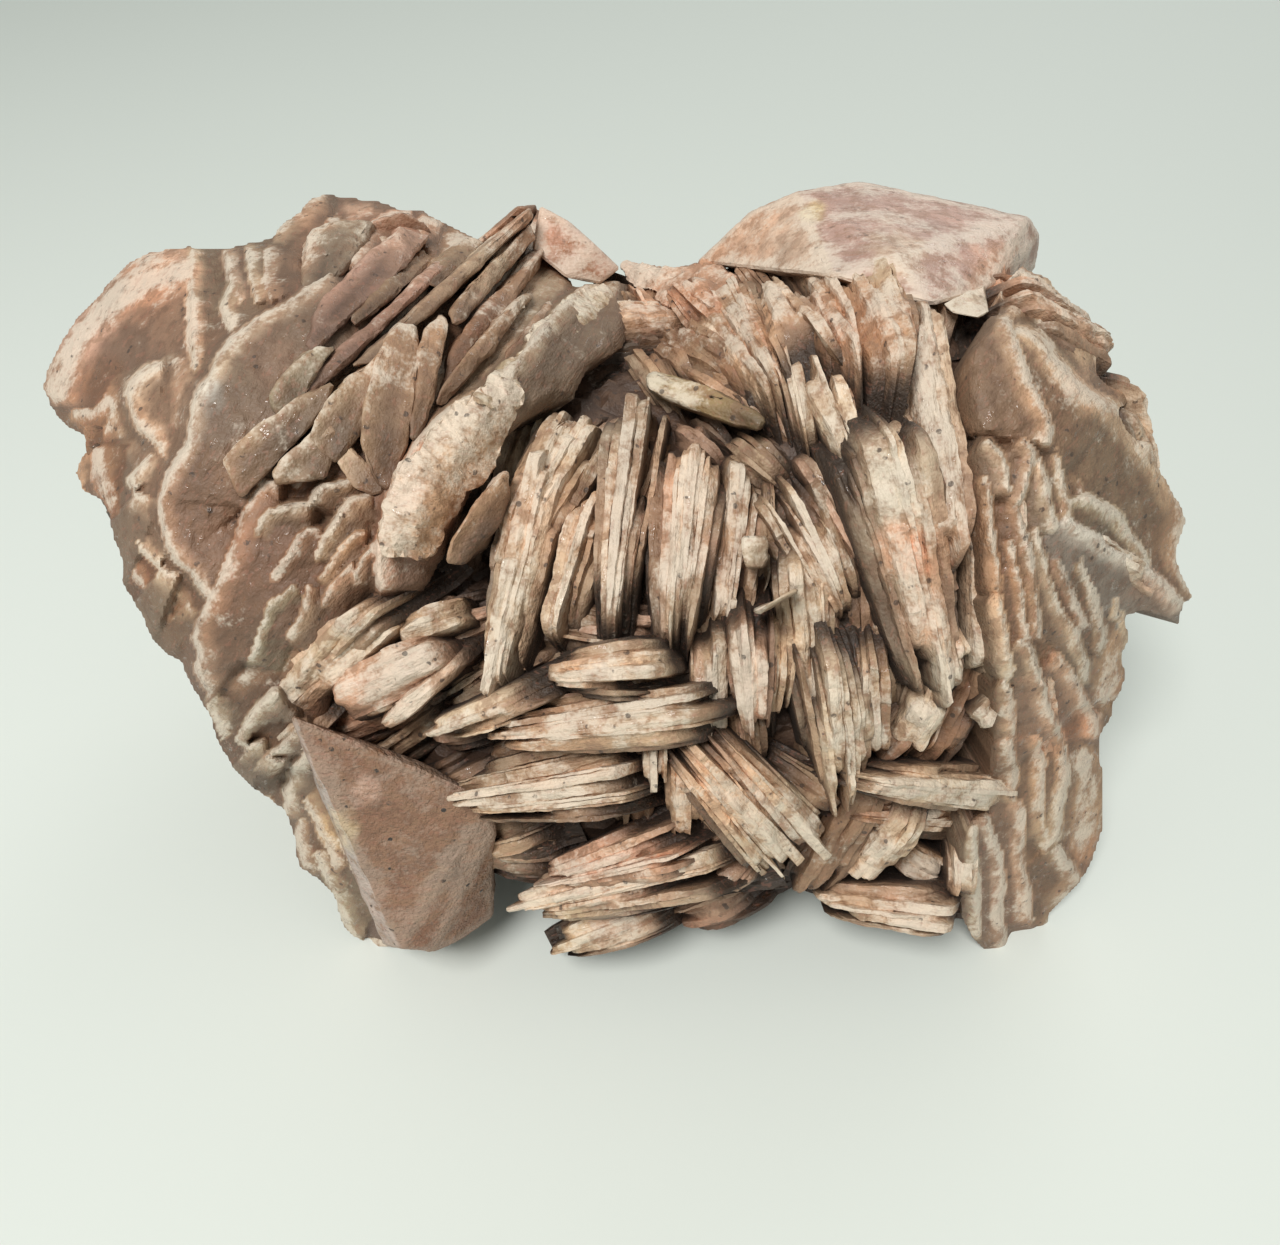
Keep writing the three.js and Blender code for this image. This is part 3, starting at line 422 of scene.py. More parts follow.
RIGHT_RIMS = [
    ("tan", 0.22, 1.2, 12, [
        (47.0, 36.6, 3), (48.0, 36.4, 3.2), (49.8, 35.3, 3.2), (51.2, 33.4, 3), (52.8, 31.7, 2.8),
        (54.2, 30.2, 2.6), (55.8, 28.3, 2.4), (56.8, 27.9, 2.2), (58.0, 27.4, 1.8), (60.0, 26.3, 1.2),
        (61.2, 24.6, 0.6), (62.5, 22.8, 0), (64.0, 21.3, -0.6), (65.4, 18.8, -1.4), (67.2, 15.6, -2.4),
        (68.2, 13.8, -3), (68.2, 11.8, -3.2), (67.4, 9.7, -3), (67.4, 7.6, -3), (68.4, 5.1, -3.6),
        (69.4, 3.1, -4),
    ]),
    ("cream", 0.15, 1.0, 10, [
        (49.4, 43.4, -2), (51.0, 43.3, -2.4), (52.2, 41.9, -2.6), (54.0, 40.4, -3), (55.1, 38.4, -3.4),
        (55.9, 35.9, -3.8), (57.5, 33.9, -4), (57.0, 31.8, -3.6), (58.0, 30.1, -3.6),
    ]),
    ("cream", 0.3, 1.4, 6, [
        (45.0, 41.3, 0.4), (46.2, 42.6, -0.4), (47.8, 44.1, -1.2), (49.2, 43.3, -1.6), (50.2, 40.8, -1.2),
        (50.2, 37.6, -1), (50.8, 34.7, -1),
    ]),
    ("peach", 0.4, 0.8, 4, [
        (57.5, 29.7, -3.2), (59.5, 29.1, -3.6), (61.5, 28.9, -4.2),
    ]),
    ("cream", 0.22, 2.4, 8, [
        (45.4, 37.9, 4.6), (46.0, 37.4, 4.6), (46.9, 35.6, 4.7), (47.8, 33.1, 4.8), (48.8, 30.3, 4.8),
        (50.0, 28.1, 4.7), (51.0, 26.3, 4.5), (51.5, 24.3, 4.3), (51.2, 22.4, 4),
    ]),
    ("grey", 0.5, 2.0, 4, [
        (47.8, 22.8, 4.4), (49.2, 21.3, 4), (48.9, 19.3, 3.8), (48.2, 16.8, 3.8), (47.5, 14.7, 3.4),
    ]),
    ("grey", 0.5, 2.0, 4, [
        (43.5, 22.8, 4.4), (45.0, 21.3, 4.4), (45.8, 19.1, 4.2), (46.2, 16.3, 4),
    ]),
    ("tan", 0.4, 2.0, 5, [
        (52.0, 21.8, 1.2), (52.5, 19.1, 1.4), (53.4, 16.3, 1.8), (53.9, 13.4, 2), (53.5, 12.3, 2),
    ]),
    ("tan", 0.5, 2.0, 4, [
        (50.0, 20.6, 2.6), (50.8, 18.1, 2.8), (51.2, 15.3, 2.8), (52.2, 11.6, 2.6),
    ]),
    ("olivegrey", 0.35, 2.0, 6, [
        (53.8, 15.4, 0.8), (56.2, 15.6, 1.2), (58.1, 14.7, 1), (59.8, 13.6, 0.4), (60.8, 11.8, 0),
        (62.5, 9.3, -0.8), (63.8, 7.3, -1.4),
    ]),
    ("white", 0.32, 1.8, 8, [
        (53.5, 13.2, 2.6), (55.0, 11.6, 2.4), (57.0, 10.7, 2.2), (58.0, 9.7, 2), (59.5, 8.8, 1.6),
        (61.2, 8.3, 1), (63.1, 7.2, 0.2), (64.8, 5.3, -0.6), (66.5, 3.8, -1.6), (68.0, 2.3, -2.4),
    ]),
    ("tan", 0.5, 2.2, 5, [
        (43.5, 18.1, 3.2), (43.8, 15.3, 3.4), (44.0, 12.2, 3.4), (44.5, 9.1, 3.2), (45.0, 6.3, 3),
        (45.0, 3.8, 3),
    ]),
    ("tan", 0.5, 2.2, 4, [
        (47.0, 15.3, 2.8), (47.8, 12.2, 3), (48.8, 9.7, 3), (49.1, 7.2, 2.8), (49.5, 4.1, 2.6),
        (49.9, 0.9, 2.6), (50.0, -1.9, 2.6),
    ]),
    ("tan", 0.5, 2.0, 4, [
        (46.5, 10.3, 2.8), (47.1, 7.8, 3), (47.6, 5.3, 3), (47.9, 2.8, 3), (48.2, 0.3, 3), (48.9, -2.2, 3),
    ]),
    ("cream", 0.4, 2.2, 5, [
        (45.0, 3.3, 3.4), (45.5, 1.3, 3.6), (46.0, -2.2, 3.6), (46.4, -4.7, 3.6), (46.6, -5.8, 3.4),
        (46.1, -7.2, 3),
    ]),
    ("tan", 0.4, 2.0, 5, [
        (49.5, 11.6, 2), (50.5, 8.4, 2), (51.2, 5.9, 2), (52.0, 3.1, 2), (53.1, 0.6, 2), (54.8, -1.2, 1.8),
        (55.1, -3.2, 1.8), (55.8, -4.9, 1.6), (55.8, -7.2, 1.2),
    ]),
    ("tan", 0.45, 1.8, 5, [
        (53.5, 12.2, 1.8), (54.8, 9.7, 1.4), (55.6, 6.6, 1.2), (56.8, 4.1, 0.8), (57.5, 0.9, 0.4),
        (57.9, -2.2, 0), (57.5, -3.7, -0.4),
    ]),
    ("brownrose", 0.45, 1.8, 4, [
        (52.5, 7.8, 1.8), (53.2, 5.3, 1.8), (54.5, 2.8, 1.6), (55.8, -0.3, 1),
    ]),
    ("tan", 0.4, 1.6, 5, [
        (57.0, 10.3, 1), (58.5, 7.8, 0.2), (59.0, 5.3, -0.4), (59.5, 2.8, -1), (59.8, 0.6, -1.4),
    ]),
    ("cream", 0.25, 1.0, 7, [
        (60.5, 1.3, -2.2), (61.2, -2.2, -3.4), (60.5, -4.1, -3.2), (60.9, -6.2, -3.8), (60.4, -8.4, -4),
        (59.4, -10.3, -4), (59.0, -12.2, -4.2), (57.5, -13.7, -4.2),
    ]),
    ("cream", 0.5, 2.2, 4, [
        (47.5, -2.2, 3.6), (48.8, -3.2, 3.8), (49.5, -4.9, 3.8), (50.2, -7.2, 3.8), (50.8, -9.7, 3.8),
        (51.8, -12.2, 3.8), (52.8, -14.4, 3.6),
    ]),
    ("peach", 0.35, 2.0, 6, [
        (52.0, -4.1, 2.4), (53.8, -5.7, 2.2), (55.0, -8.4, 2), (55.8, -10.3, 2), (56.9, -11.6, 1.8),
        (57.0, -14.1, 1.4),
    ]),
    ("tan", 0.4, 2.0, 4, [
        (45.5, -7.2, 3), (46.5, -8.4, 3.2), (46.6, -10.9, 3.2), (46.8, -14.1, 3),
    ]),
    ("brown", 0.1, 0.4, 40, [
        (50.0, 19.1, 0), (53.8, 2.8, -1), (52.5, -17.2, -0.6), (46.2, -34.7, 0),
    ]),
    ("tan", 0.35, 2, 5, [
        (53.0, -14.7, 2.4), (53.2, -17.2, 2.4), (53.2, -20.3, 2.2), (52.5, -23.4, 2.2), (52.2, -26.6, 2),
        (50.6, -28.4, 1.8),
    ]),
    ("brownrose", 0.3, 1.4, 6, [
        (57.2, -14.1, -3), (58.0, -18.4, -3), (58.0, -23.4, -3), (57.2, -27.8, -3.2), (56.2, -30.7, -3.4),
        (54.0, -33.2, -3.6),
    ]),
    ("tan", 0.4, 2, 4, [
        (47.8, -22.2, 2.2), (48.1, -25.9, 2.2), (47.6, -29.7, 2.4), (48.5, -33.4, 2.4), (48.8, -37.2, 2.2),
    ]),
    ("grey", 0.4, 2, 4, [
        (43.1, -24.1, 2.8), (45.0, -28.4, 2.8), (45.4, -32.2, 3), (45.0, -37.2, 3), (46.0, -40.9, 2.6),
    ]),
    ("cream", 0.5, 2.2, 4, [
        (41.8, -25.4, 3.4), (42.1, -29.7, 3.8), (42.4, -34.7, 3.8), (42.2, -39.4, 3.4),
    ]),
    ("tan", 0.35, 1.6, 5, [
        (52.0, -27.9, 1.6), (53.8, -30.4, 1.2), (54.9, -32.2, 0.6), (52.5, -35.3, 0.2), (51.0, -38.4, 0),
    ]),
    ("cream", 0.4, 1.6, 4, [
        (46.5, -14.7, 3), (47.0, -18.4, 3), (46.8, -22.2, 2.8),
    ]),
    ("tan", 0.4, 1.8, 4, [
        (50.0, -14.1, 2.6), (50.5, -17.8, 2.6), (50.2, -22.2, 2.6), (50.8, -26.6, 2.2),
    ]),
]
RIGHT_OUTLINE = [
    (43.1, 38.3), (44.8, 38.8), (44.5, 41.3), (46.0, 43.3), (47.8, 45.1), (49.5, 43.8), (51.0, 43.4),
    (52.2, 41.9), (54.0, 40.4), (55.1, 38.4), (55.9, 35.9), (57.5, 33.9), (57.0, 31.8), (58.0, 30.2),
    (59.8, 29.3), (61.4, 29.3), (61.6, 28.1), (60.8, 26.9), (59.8, 26.8), (61.2, 24.3), (62.5, 22.8),
    (64.2, 22.8), (64.8, 20.9), (65.0, 19.6), (66.5, 17.1), (68.2, 13.8), (68.4, 12.1), (67.4, 9.7),
    (67.4, 7.6), (68.4, 5.1), (69.5, 3.1), (68.0, 2.1), (67.9, 0.6), (67.4, -0.7), (65.6, 0.3),
    (64.4, 0.9), (62.5, 1.2), (60.9, 0.6), (61.4, -2.2), (60.5, -4.1), (60.9, -6.2), (60.4, -8.4),
    (59.4, -10.3), (59.0, -12.2), (57.5, -14.4), (58.0, -17.8), (58.1, -25.9), (56.5, -30.7),
    (55.0, -33.1), (51.5, -36.4), (51.0, -38.7), (47.5, -39.7), (45.0, -41.3), (43.1, -41.3),
    (41.2, -39.8), (40.2, -37.8), (39.4, -33.4), (39.6, -28.4), (41.5, -23.4), (43.1, -19.7),
    (43.8, -14.7), (43.1, -2.2), (41.9, 5.3), (41.5, 15.3), (40.6, 24.1), (40.6, 34.1),
]

# The regions of overlapping plates: outline, lit side, rims, and the middle that their backs draw in to.
OVERLAPPING = {
    "left_plates": (LEFT_OUTLINE, (-0.8, 0.6), LEFT_RIMS, LOBES[0][0], 0.76),
    "right_plates": (RIGHT_OUTLINE, (0.8, 0.6), RIGHT_RIMS, LOBES[1][0], 0.92),
}

# Broad crystals, by piece: (name, thickness, raggedness of the edge, tone, corners as (across, up, standing)).
PLATES = {
    "broad_centre": [
        ("big_plate_high", 6, 0.8, "olivegrey", [
            (-21.2, 28.1, 6.9), (-19.4, 29.9, 7.7), (-17.0, 32.2, 7.9), (-15.4, 33.3, 7.9),
            (-14.1, 35.1, 7.9), (-12.5, 37.1, 7.7), (-9.6, 40.3, 7.3), (-7.2, 41.9, 6.7), (-3.5, 42.8, 5.3),
            (-3.0, 39.9, 4.3), (-4.4, 36.8, 4.5), (-6.1, 34.6, 4.7), (-9.0, 32.1, 4.9), (-11.0, 30.6, 5.1),
            (-13.8, 28.3, 5.1), (-16.8, 26.8, 5.5), (-19.5, 26.3, 5.9),
        ]),
        ("big_plate_low", 6, 0.8, "tan", [
            (-32.9, 9.8, 7), (-32.0, 14.4, 8), (-31.1, 17.3, 8.5), (-29.8, 20.2, 8.9), (-26.9, 23.8, 9.3),
            (-26.6, 24.9, 9.3), (-24.5, 26.4, 9.3), (-22.0, 27.9, 9.1), (-19.4, 29.9, 8.9),
            (-17.0, 31.6, 8.5), (-15.0, 29.8, 6.5), (-14.8, 27.1, 5.9), (-16.5, 24.2, 5.5),
            (-17.6, 20.2, 5.5), (-20.5, 17.3, 5.7), (-22.8, 14.9, 5.7), (-25.1, 10.3, 5.3),
            (-26.2, 7.4, 5.1), (-29.8, 7.8, 5.9), (-32.0, 8.3, 6.5),
        ]),
        ("saddle_top", 6, 0.6, "rose", [
            (-2.5, 45.1, -1), (-0.5, 45.1, -1), (3.5, 44.1, -2), (7.5, 45.1, -2), (10.5, 44.3, 0),
            (12.2, 42.8, 2), (9.5, 40.3, 3), (6.2, 40.8, 3), (3.0, 39.1, 4), (1.5, 41.6, 3),
            (-1.2, 41.8, 3),
        ]),
    ],
    "rhombic_crystal": [
        ("broad_rhomb", 9, 0.45, "umberrose", [
            (-43.5, -11.7, 5), (-39.0, -18.2, 8), (-34.2, -25.4, 9), (-31.8, -31.7, 8), (-30.0, -40.7, 4),
            (-36.9, -14.1, 3), (-27.4, -17.4, 1), (-18.8, -22.2, -1), (-18.1, -25.8, -2),
            (-18.4, -36.7, -3), (-22.8, -39.8, -1), (-26.0, -41.1, 1), (-42.5, -15.3, 2), (-39.8, -20.8, 4),
            (-37.2, -25.8, 4.5), (-35.4, -30.2, 3.5), (-32.0, -40.3, 1),
        ]),
    ],
    "top_crystal": [
        ("top_crystal", 9, 0.3, "topmauve", [
            (19.6, 53.8, -3), (27.5, 55.1, -7), (43.5, 51.7, -8), (48.6, 50.6, -6), (40.6, 46.9, 2),
            (31.9, 45.8, 2.4), (23.9, 43.3, 1), (18.1, 49.8, 1), (17.4, 46.2, 0), (7.2, 45.1, -5),
            (13.8, 51.3, -5), (36.6, 39.7, -1), (43.5, 41.6, -4), (49.2, 44.1, -8), (49.9, 48.4, -8),
        ]),
        ("dark_glassy", 6, 0.1, "wine", [
            (-12.5, 52.1, -1), (-13.5, 46.6, 2), (-9.2, 43.1, 3), (-5.0, 42.3, 3), (-2.5, 44.3, 2),
            (-5.5, 47.2, 0), (-8.8, 50.1, -1),
        ]),
        ("white_fragment", 3, 0.3, "grey", [
            (38.0, 39.8, -1), (40.8, 41.3, -1), (43.0, 42.1, -1), (43.5, 38.8, -1), (42.2, 38.1, -1),
            (39.0, 38.8, -1),
        ]),
    ],
    "long_bars": [
        ("bar_knob", 6, 0.5, "grey", [
            (-42.5, 46.6, 3.4), (-41.2, 49.1, 3.6), (-38.5, 50.1, 3.3), (-33.5, 50.2, 2.6),
            (-32.9, 48.8, 2.3), (-34.8, 46.3, 2.3), (-38.8, 41.9, 2.2), (-41.0, 40.1, 2.3),
            (-42.2, 42.8, 2.8),
        ]),
        ("bar_shoulder", 6, 0.5, "rose", [
            (-33.5, 50.1, 1.6), (-29.8, 51.3, 1.2), (-26.9, 49.8, 0.6), (-26.0, 48.3, 0.2),
            (-28.5, 48.3, 0.6), (-32.5, 47.1, 1.0), (-34.2, 47.3, 1.3),
        ]),
        ("bar_long", 6, 0.5, "mauve", [
            (-39.5, 40.6, 5.2), (-36.9, 43.3, 5.2), (-33.5, 46.6, 5.2), (-29.8, 49.8, 5.0),
            (-26.2, 48.3, 3.4), (-30.2, 43.6, 3.2), (-36.9, 37.6, 3.4), (-40.8, 33.6, 3.4),
            (-41.8, 35.1, 4.1), (-41.2, 37.2, 4.7),
        ]),
        ("bar_face", 6, 0.4, "tan", [
            (-36.2, 38.1, 3.3), (-31.9, 42.6, 3.4), (-26.9, 47.1, 3.1), (-25.0, 46.3, 1.7),
            (-28.8, 42.3, 1.6), (-33.8, 38.1, 2.0), (-35.5, 36.8, 2.3),
        ]),
        ("bar_grey", 6, 0.4, "olivegrey", [
            (-46.1, 28.1, 5.6), (-45.0, 30.2, 5.9), (-42.5, 33.1, 6.0), (-40.5, 34.6, 5.8),
            (-38.2, 34.3, 5.0), (-40.2, 31.8, 4.9), (-42.5, 27.6, 4.2), (-45.5, 25.8, 4.6),
        ]),
        ("bar_thin", 6, 0.3, "mauve", [
            (-42.8, 29.1, 4.4), (-36.9, 35.1, 4.4), (-30.0, 40.9, 4.1), (-25.5, 45.1, 4.0),
            (-24.5, 44.3, 3.4), (-30.0, 38.8, 3.4), (-36.9, 32.3, 3.5), (-41.8, 27.6, 3.6),
        ]),
        ("bar_square", 6, 0.4, "tan", [
            (-52.2, 20.1, 6.2), (-51.0, 22.1, 6.4), (-45.6, 26.3, 6.1), (-41.2, 28.8, 5.5),
            (-38.5, 29.8, 5.1), (-38.8, 27.6, 4.5), (-42.5, 22.8, 4.2), (-46.0, 19.6, 4.3),
            (-50.0, 15.6, 4.3),
        ]),
        ("bar_short", 6, 0.4, "tan", [
            (-46.0, 18.6, 4.4), (-45.0, 20.3, 4.6), (-41.8, 23.3, 4.5), (-38.8, 25.3, 4.3),
            (-37.5, 22.8, 3.3), (-39.4, 18.1, 2.6), (-43.8, 17.3, 3.5), (-45.2, 17.3, 3.9),
        ]),
        ("bar_knee", 6, 0.5, "tan", [
            (-41.5, 23.1, 4.8), (-40.8, 25.3, 5.3), (-39.5, 27.4, 5.5), (-36.9, 30.3, 5.6),
            (-34.0, 32.6, 5.4), (-32.0, 34.1, 5.3), (-33.0, 28.8, 4.0), (-34.8, 23.8, 3.0),
            (-36.5, 21.3, 2.8), (-38.2, 20.1, 2.9), (-39.8, 21.3, 3.8),
        ]),
        ("bar_tail", 6, 0.4, "cream", [
            (-38.8, 22.8, 3.2), (-36.8, 22.3, 2.9), (-34.2, 20.1, 2.2), (-32.2, 17.6, 1.6),
            (-32.0, 16.3, 1.4), (-33.5, 15.8, 1.5), (-35.5, 16.8, 1.9), (-37.5, 19.3, 2.6),
        ]),
        ("bar_upright", 6, 0.5, "tan", [
            (-35.0, 22.6, 5.3), (-34.8, 25.6, 5.5), (-34.0, 29.3, 5.6), (-32.8, 33.3, 5.6),
            (-31.8, 35.6, 5.5), (-30.2, 37.1, 5.2), (-28.2, 37.1, 4.5), (-27.8, 34.7, 4.1),
            (-28.2, 27.8, 3.6), (-29.0, 23.3, 3.5), (-30.2, 18.6, 3.4), (-31.5, 16.8, 3.6),
            (-32.8, 17.1, 4.0), (-34.2, 20.1, 4.8),
        ]),
        ("bar_upright_side", 6, 0.4, "tan", [
            (-28.8, 22.8, 3.9), (-28.5, 27.8, 4.3), (-27.8, 33.8, 4.6), (-26.8, 36.8, 4.6),
            (-25.0, 38.8, 4.2), (-24.2, 37.6, 3.8), (-24.8, 33.8, 3.7), (-25.5, 28.8, 3.4),
            (-26.5, 25.3, 3.4), (-27.8, 22.6, 3.5),
        ]),
        ("bar_white", 6, 0.3, "cream", [
            (-36.0, 32.1, 5.0), (-30.5, 37.3, 4.9), (-24.2, 43.2, 4.8), (-17.5, 49.1, 4.6),
            (-13.8, 51.8, 4.3), (-13.2, 50.8, 3.9), (-16.2, 47.3, 3.8), (-22.0, 42.3, 4.0),
            (-27.0, 38.1, 4.2), (-30.2, 35.8, 4.5), (-33.5, 32.3, 4.4),
        ]),
        ("bar_pale_blade", 6, 0.3, "cream", [
            (-23.8, 38.8, 3.7), (-22.8, 40.3, 3.8), (-19.8, 44.1, 4.0), (-16.0, 48.3, 4.2),
            (-13.8, 49.6, 3.9), (-13.2, 48.1, 3.3), (-15.6, 44.8, 3.0), (-19.5, 40.6, 2.9),
            (-22.0, 37.8, 2.8), (-23.2, 37.3, 3.0),
        ]),
        ("bar_dark", 6, 0.3, "brownrose", [
            (-24.0, 34.1, 2.0), (-21.5, 37.6, 2.3), (-17.5, 41.8, 2.4), (-13.8, 46.3, 2.6),
            (-12.0, 46.8, 2.3), (-12.5, 44.1, 1.6), (-16.5, 39.3, 1.4), (-20.0, 35.3, 1.3),
            (-23.0, 31.3, 1.0), (-24.8, 28.8, 0.8),
        ]),
        ("bar_tan", 6, 0.4, "tan", [
            (-25.8, 27.3, 3.2), (-25.0, 29.3, 3.8), (-21.8, 33.8, 4.3), (-17.8, 38.1, 4.4),
            (-15.0, 40.8, 4.4), (-13.5, 40.8, 3.8), (-16.0, 37.1, 3.2), (-19.2, 33.1, 2.9),
            (-22.2, 29.6, 2.7), (-24.5, 27.1, 2.6),
        ]),
        ("bar_peach", 6, 0.4, "tan", [
            (-27.0, 42.6, 2.5), (-26.0, 45.1, 3.0), (-24.2, 46.8, 3.0), (-21.8, 48.1, 2.6),
            (-19.2, 47.6, 1.5), (-20.8, 45.1, 1.2), (-23.8, 43.3, 1.6), (-25.2, 41.8, 1.6),
        ]),
        ("bar_top", 6, 0.4, "rose", [
            (-20.2, 47.6, 1.0), (-17.5, 50.1, 0.9), (-15.0, 52.1, 0.6), (-13.0, 51.8, -0.4),
            (-13.8, 49.8, -1.0), (-16.8, 47.6, -0.6), (-18.8, 45.8, -0.5),
        ]),
        ("bar_under", 6, 0.3, "brownrose", [
            (-17.5, 31.3, 1.2), (-16.5, 34.1, 1.9), (-13.8, 37.6, 2.2), (-11.5, 40.3, 2.4),
            (-10.0, 40.3, 1.8), (-11.0, 36.6, 0.7), (-13.8, 33.8, 0.7), (-16.0, 31.3, 0.6),
        ]),
        ("bar_leaf", 6, 0.4, "tan", [
            (-24.2, 7.6, 4.2), (-23.5, 10.3, 4.8), (-21.2, 14.1, 5.2), (-18.8, 17.3, 5.4),
            (-16.8, 18.8, 5.3), (-16.2, 16.6, 4.5), (-17.2, 12.8, 3.7), (-19.2, 9.6, 3.4),
            (-22.0, 7.3, 3.5),
        ]),
        ("bar_rod", 6, 0.2, "olive", [
            (0.8, 30.8, 1.4), (1.8, 31.4, 1.4), (5.0, 30.6, 1.1), (10.0, 28.8, 0.6), (14.0, 26.6, 0.0),
            (15.5, 25.3, -0.2), (14.8, 24.1, -0.4), (11.9, 24.4, -0.2), (7.5, 25.8, 0.2), (3.2, 27.8, 0.8),
            (1.0, 29.3, 1.1),
        ]),
        ("bar_tablet", 6, 0.1, "cream", [
            (12.8, 10.7, 4.6), (15.8, 10.8, 4.4), (16.0, 7.8, 4.2), (15.5, 6.8, 4.2), (13.5, 6.8, 4.3),
            (12.8, 8.3, 4.5),
        ]),
        ("bar_stick", 6, 0.1, "cream", [
            (14.2, 1.6, 6.0), (16.5, 2.8, 5.9), (19.5, 4.3, 5.7), (19.8, 3.8, 5.6), (17.2, 2.3, 5.7),
            (14.8, 1.2, 5.9),
        ]),
    ],
}

# Sheaves on the sides that the viewpoint doesn't show: (turn round the body from the front in degrees,
# angle above the middle, run of the blades from upright, length, width).
FAR_SHEAVES = {
    "far_low_sheaves": [
        (66, -32, -30, 30, 22),
        (96, -26, 15, 34, 24),
        (130, -28, -20, 34, 26),
        (164, -24, 30, 34, 28),
        (200, -27, -10, 34, 28),
        (234, -26, 25, 32, 26),
        (288, -38, -25, 28, 20),
    ],
    "far_middle_sheaves": [
        (74, -8, -14, 26, 16),
        (84, 16, 12, 30, 20),
        (98, 0, 8, 34, 20),
        (120, 8, -12, 36, 24),
        (144, 4, 18, 38, 26),
        (174, 8, -20, 38, 26),
        (204, 4, 12, 38, 26),
        (232, 8, -8, 34, 24),
        (252, -4, -12, 28, 16),
        (266, 12, 14, 28, 18),
        (250, 16, -18, 24, 16),
        (268, -20, -16, 26, 18),
    ],
    "far_high_sheaves": [
        (92, 36, -18, 24, 18),
        (114, 30, 30, 26, 20),
        (138, 34, -35, 32, 22),
        (162, 34, 25, 34, 22),
        (186, 36, -25, 34, 22),
        (210, 34, 40, 34, 22),
        (234, 36, -30, 28, 20),
        (258, 32, 24, 22, 16),
        (178, 66, 75, 22, 18),
    ],
}


def sight_to(across, up):
    """The unit direction from the viewpoint to a place on the plane."""
    forward = Vector((0, math.cos(VIEW_DIP), -math.sin(VIEW_DIP)))
    upward = Vector((0, math.sin(VIEW_DIP), math.cos(VIEW_DIP)))
    return (forward * PLANE_DISTANCE + upward * up + Vector((across, 0, 0))).normalized()


def shared(a, b):
    """One vector divided by another, axis by axis."""
    return Vector((a.x / b.x, a.y / b.y, a.z / b.z))


def meet_body(start, direction, limb=0):
    """How far along a line it meets the lobes, or passes closest, and the outward direction there.

    Within the share limb of a lobe's edge its surface is carried on in a straight slope.
    """
    best = None
    for centre, radii in LOBES:
        origin = shared(start - centre, radii)
        step = shared(direction, radii)
        a = step.dot(step)
        b = origin.dot(step)
        gap = origin.dot(origin) - 1 - b * b / a
        front = math.sqrt(-gap) if gap < -limb else (limb - gap) / (2 * math.sqrt(limb)) if limb else 0
        along = -b / a - front / math.sqrt(a)
        miss = max(gap, 0)
        if best is None or (miss, along) < best[:2]:
            outward = shared(origin + step * along, radii).normalized()
            best = (miss, along, outward)
    return best[1], best[2], best[0]


def on_body(across, up, standing, limb=0):
    """The place on the body behind [across, up], its outward direction, and the way to the viewer."""
    direction = sight_to(across, up)
    along, outward, miss = meet_body(VIEWPOINT, direction, limb)
    return VIEWPOINT + direction * (along - standing), outward, -direction, along


class Piece:
    """One piece of the cluster, gathered from crystals."""

    def __init__(self, name):
        self.name = name
        self.bm = bmesh.new()
        self.tint = self.bm.verts.layers.float_color.new("tint")
        self.rim = self.bm.verts.layers.float.new("rim")
        self.grain = self.bm.verts.layers.float_vector.new("grain")

    def add(self, crystal, matrix=None):
        """Takes over a finished crystal, in place."""
        if matrix is not None:
            bmesh.ops.transform(crystal, matrix=matrix, verts=crystal.verts)
        break_off_flat(crystal)
        carrier = bpy.data.meshes.new("crystal")
        crystal.to_mesh(carrier)
        crystal.free()
        self.bm.from_mesh(carrier)
        bpy.data.meshes.remove(carrier)

    def finish(self, material):
        """Makes the object, in metres and in the frame's place."""
        bmesh.ops.translate(self.bm, vec=-BOX_MIDDLE, verts=self.bm.verts)
        bmesh.ops.scale(self.bm, vec=(MM, MM, MM), verts=self.bm.verts)
        mesh = bpy.data.meshes.new(self.name)
        self.bm.to_mesh(mesh)
        self.bm.free()
        thing = bpy.data.objects.new(self.name, mesh)
        bpy.context.scene.collection.objects.link(thing)
        mesh.materials.append(material)
        mesh.polygons.foreach_set("use_smooth", [True] * len(mesh.polygons))
        mesh.set_sharp_from_angle(angle=math.radians(38))
        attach(thing, "root")
        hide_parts("barite_cluster")
        return thing


def new_crystal():
    """An empty bmesh with the layers that every crystal carries."""
    bm = bmesh.new()
    bm.verts.layers.float_color.new("tint")
    bm.verts.layers.float.new("rim")
    bm.verts.layers.float_vector.new("grain")
    return bm


def break_off_flat(crystal):
    """What would reach below the table is broken off flat."""
    if min(v.co.z for v in crystal.verts) >= 0:
        return
    geometry = crystal.verts[:] + crystal.edges[:] + crystal.faces[:]
    cut = bmesh.ops.bisect_plane(
        crystal, geom=geometry, plane_co=(0, 0, 0), plane_no=(0, 0, -1), clear_outer=True
    )
    edges = [e for e in cut["geom_cut"] if isinstance(e, bmesh.types.BMEdge)]
    if edges:
        bmesh.ops.holes_fill(crystal, edges=edges, sides=0)


def patches(co):
    """The slow drift of colour over the cluster, as a multiplier of the tint."""
    flush = max(0, noise.noise(co * 0.07 + Vector((7, 1, 4))) + 0.1) * 1.3
    cloud = noise.noise(co * 0.16 + Vector((2, 9, 5)))
    small = noise.noise(co * 0.55)
    value = 1 + 0.22 * cloud + 0.20 * small
    return value * (1 + 0.10 * flush), value * (1 - 0.12 * flush), value * (1 - 0.22 * flush)


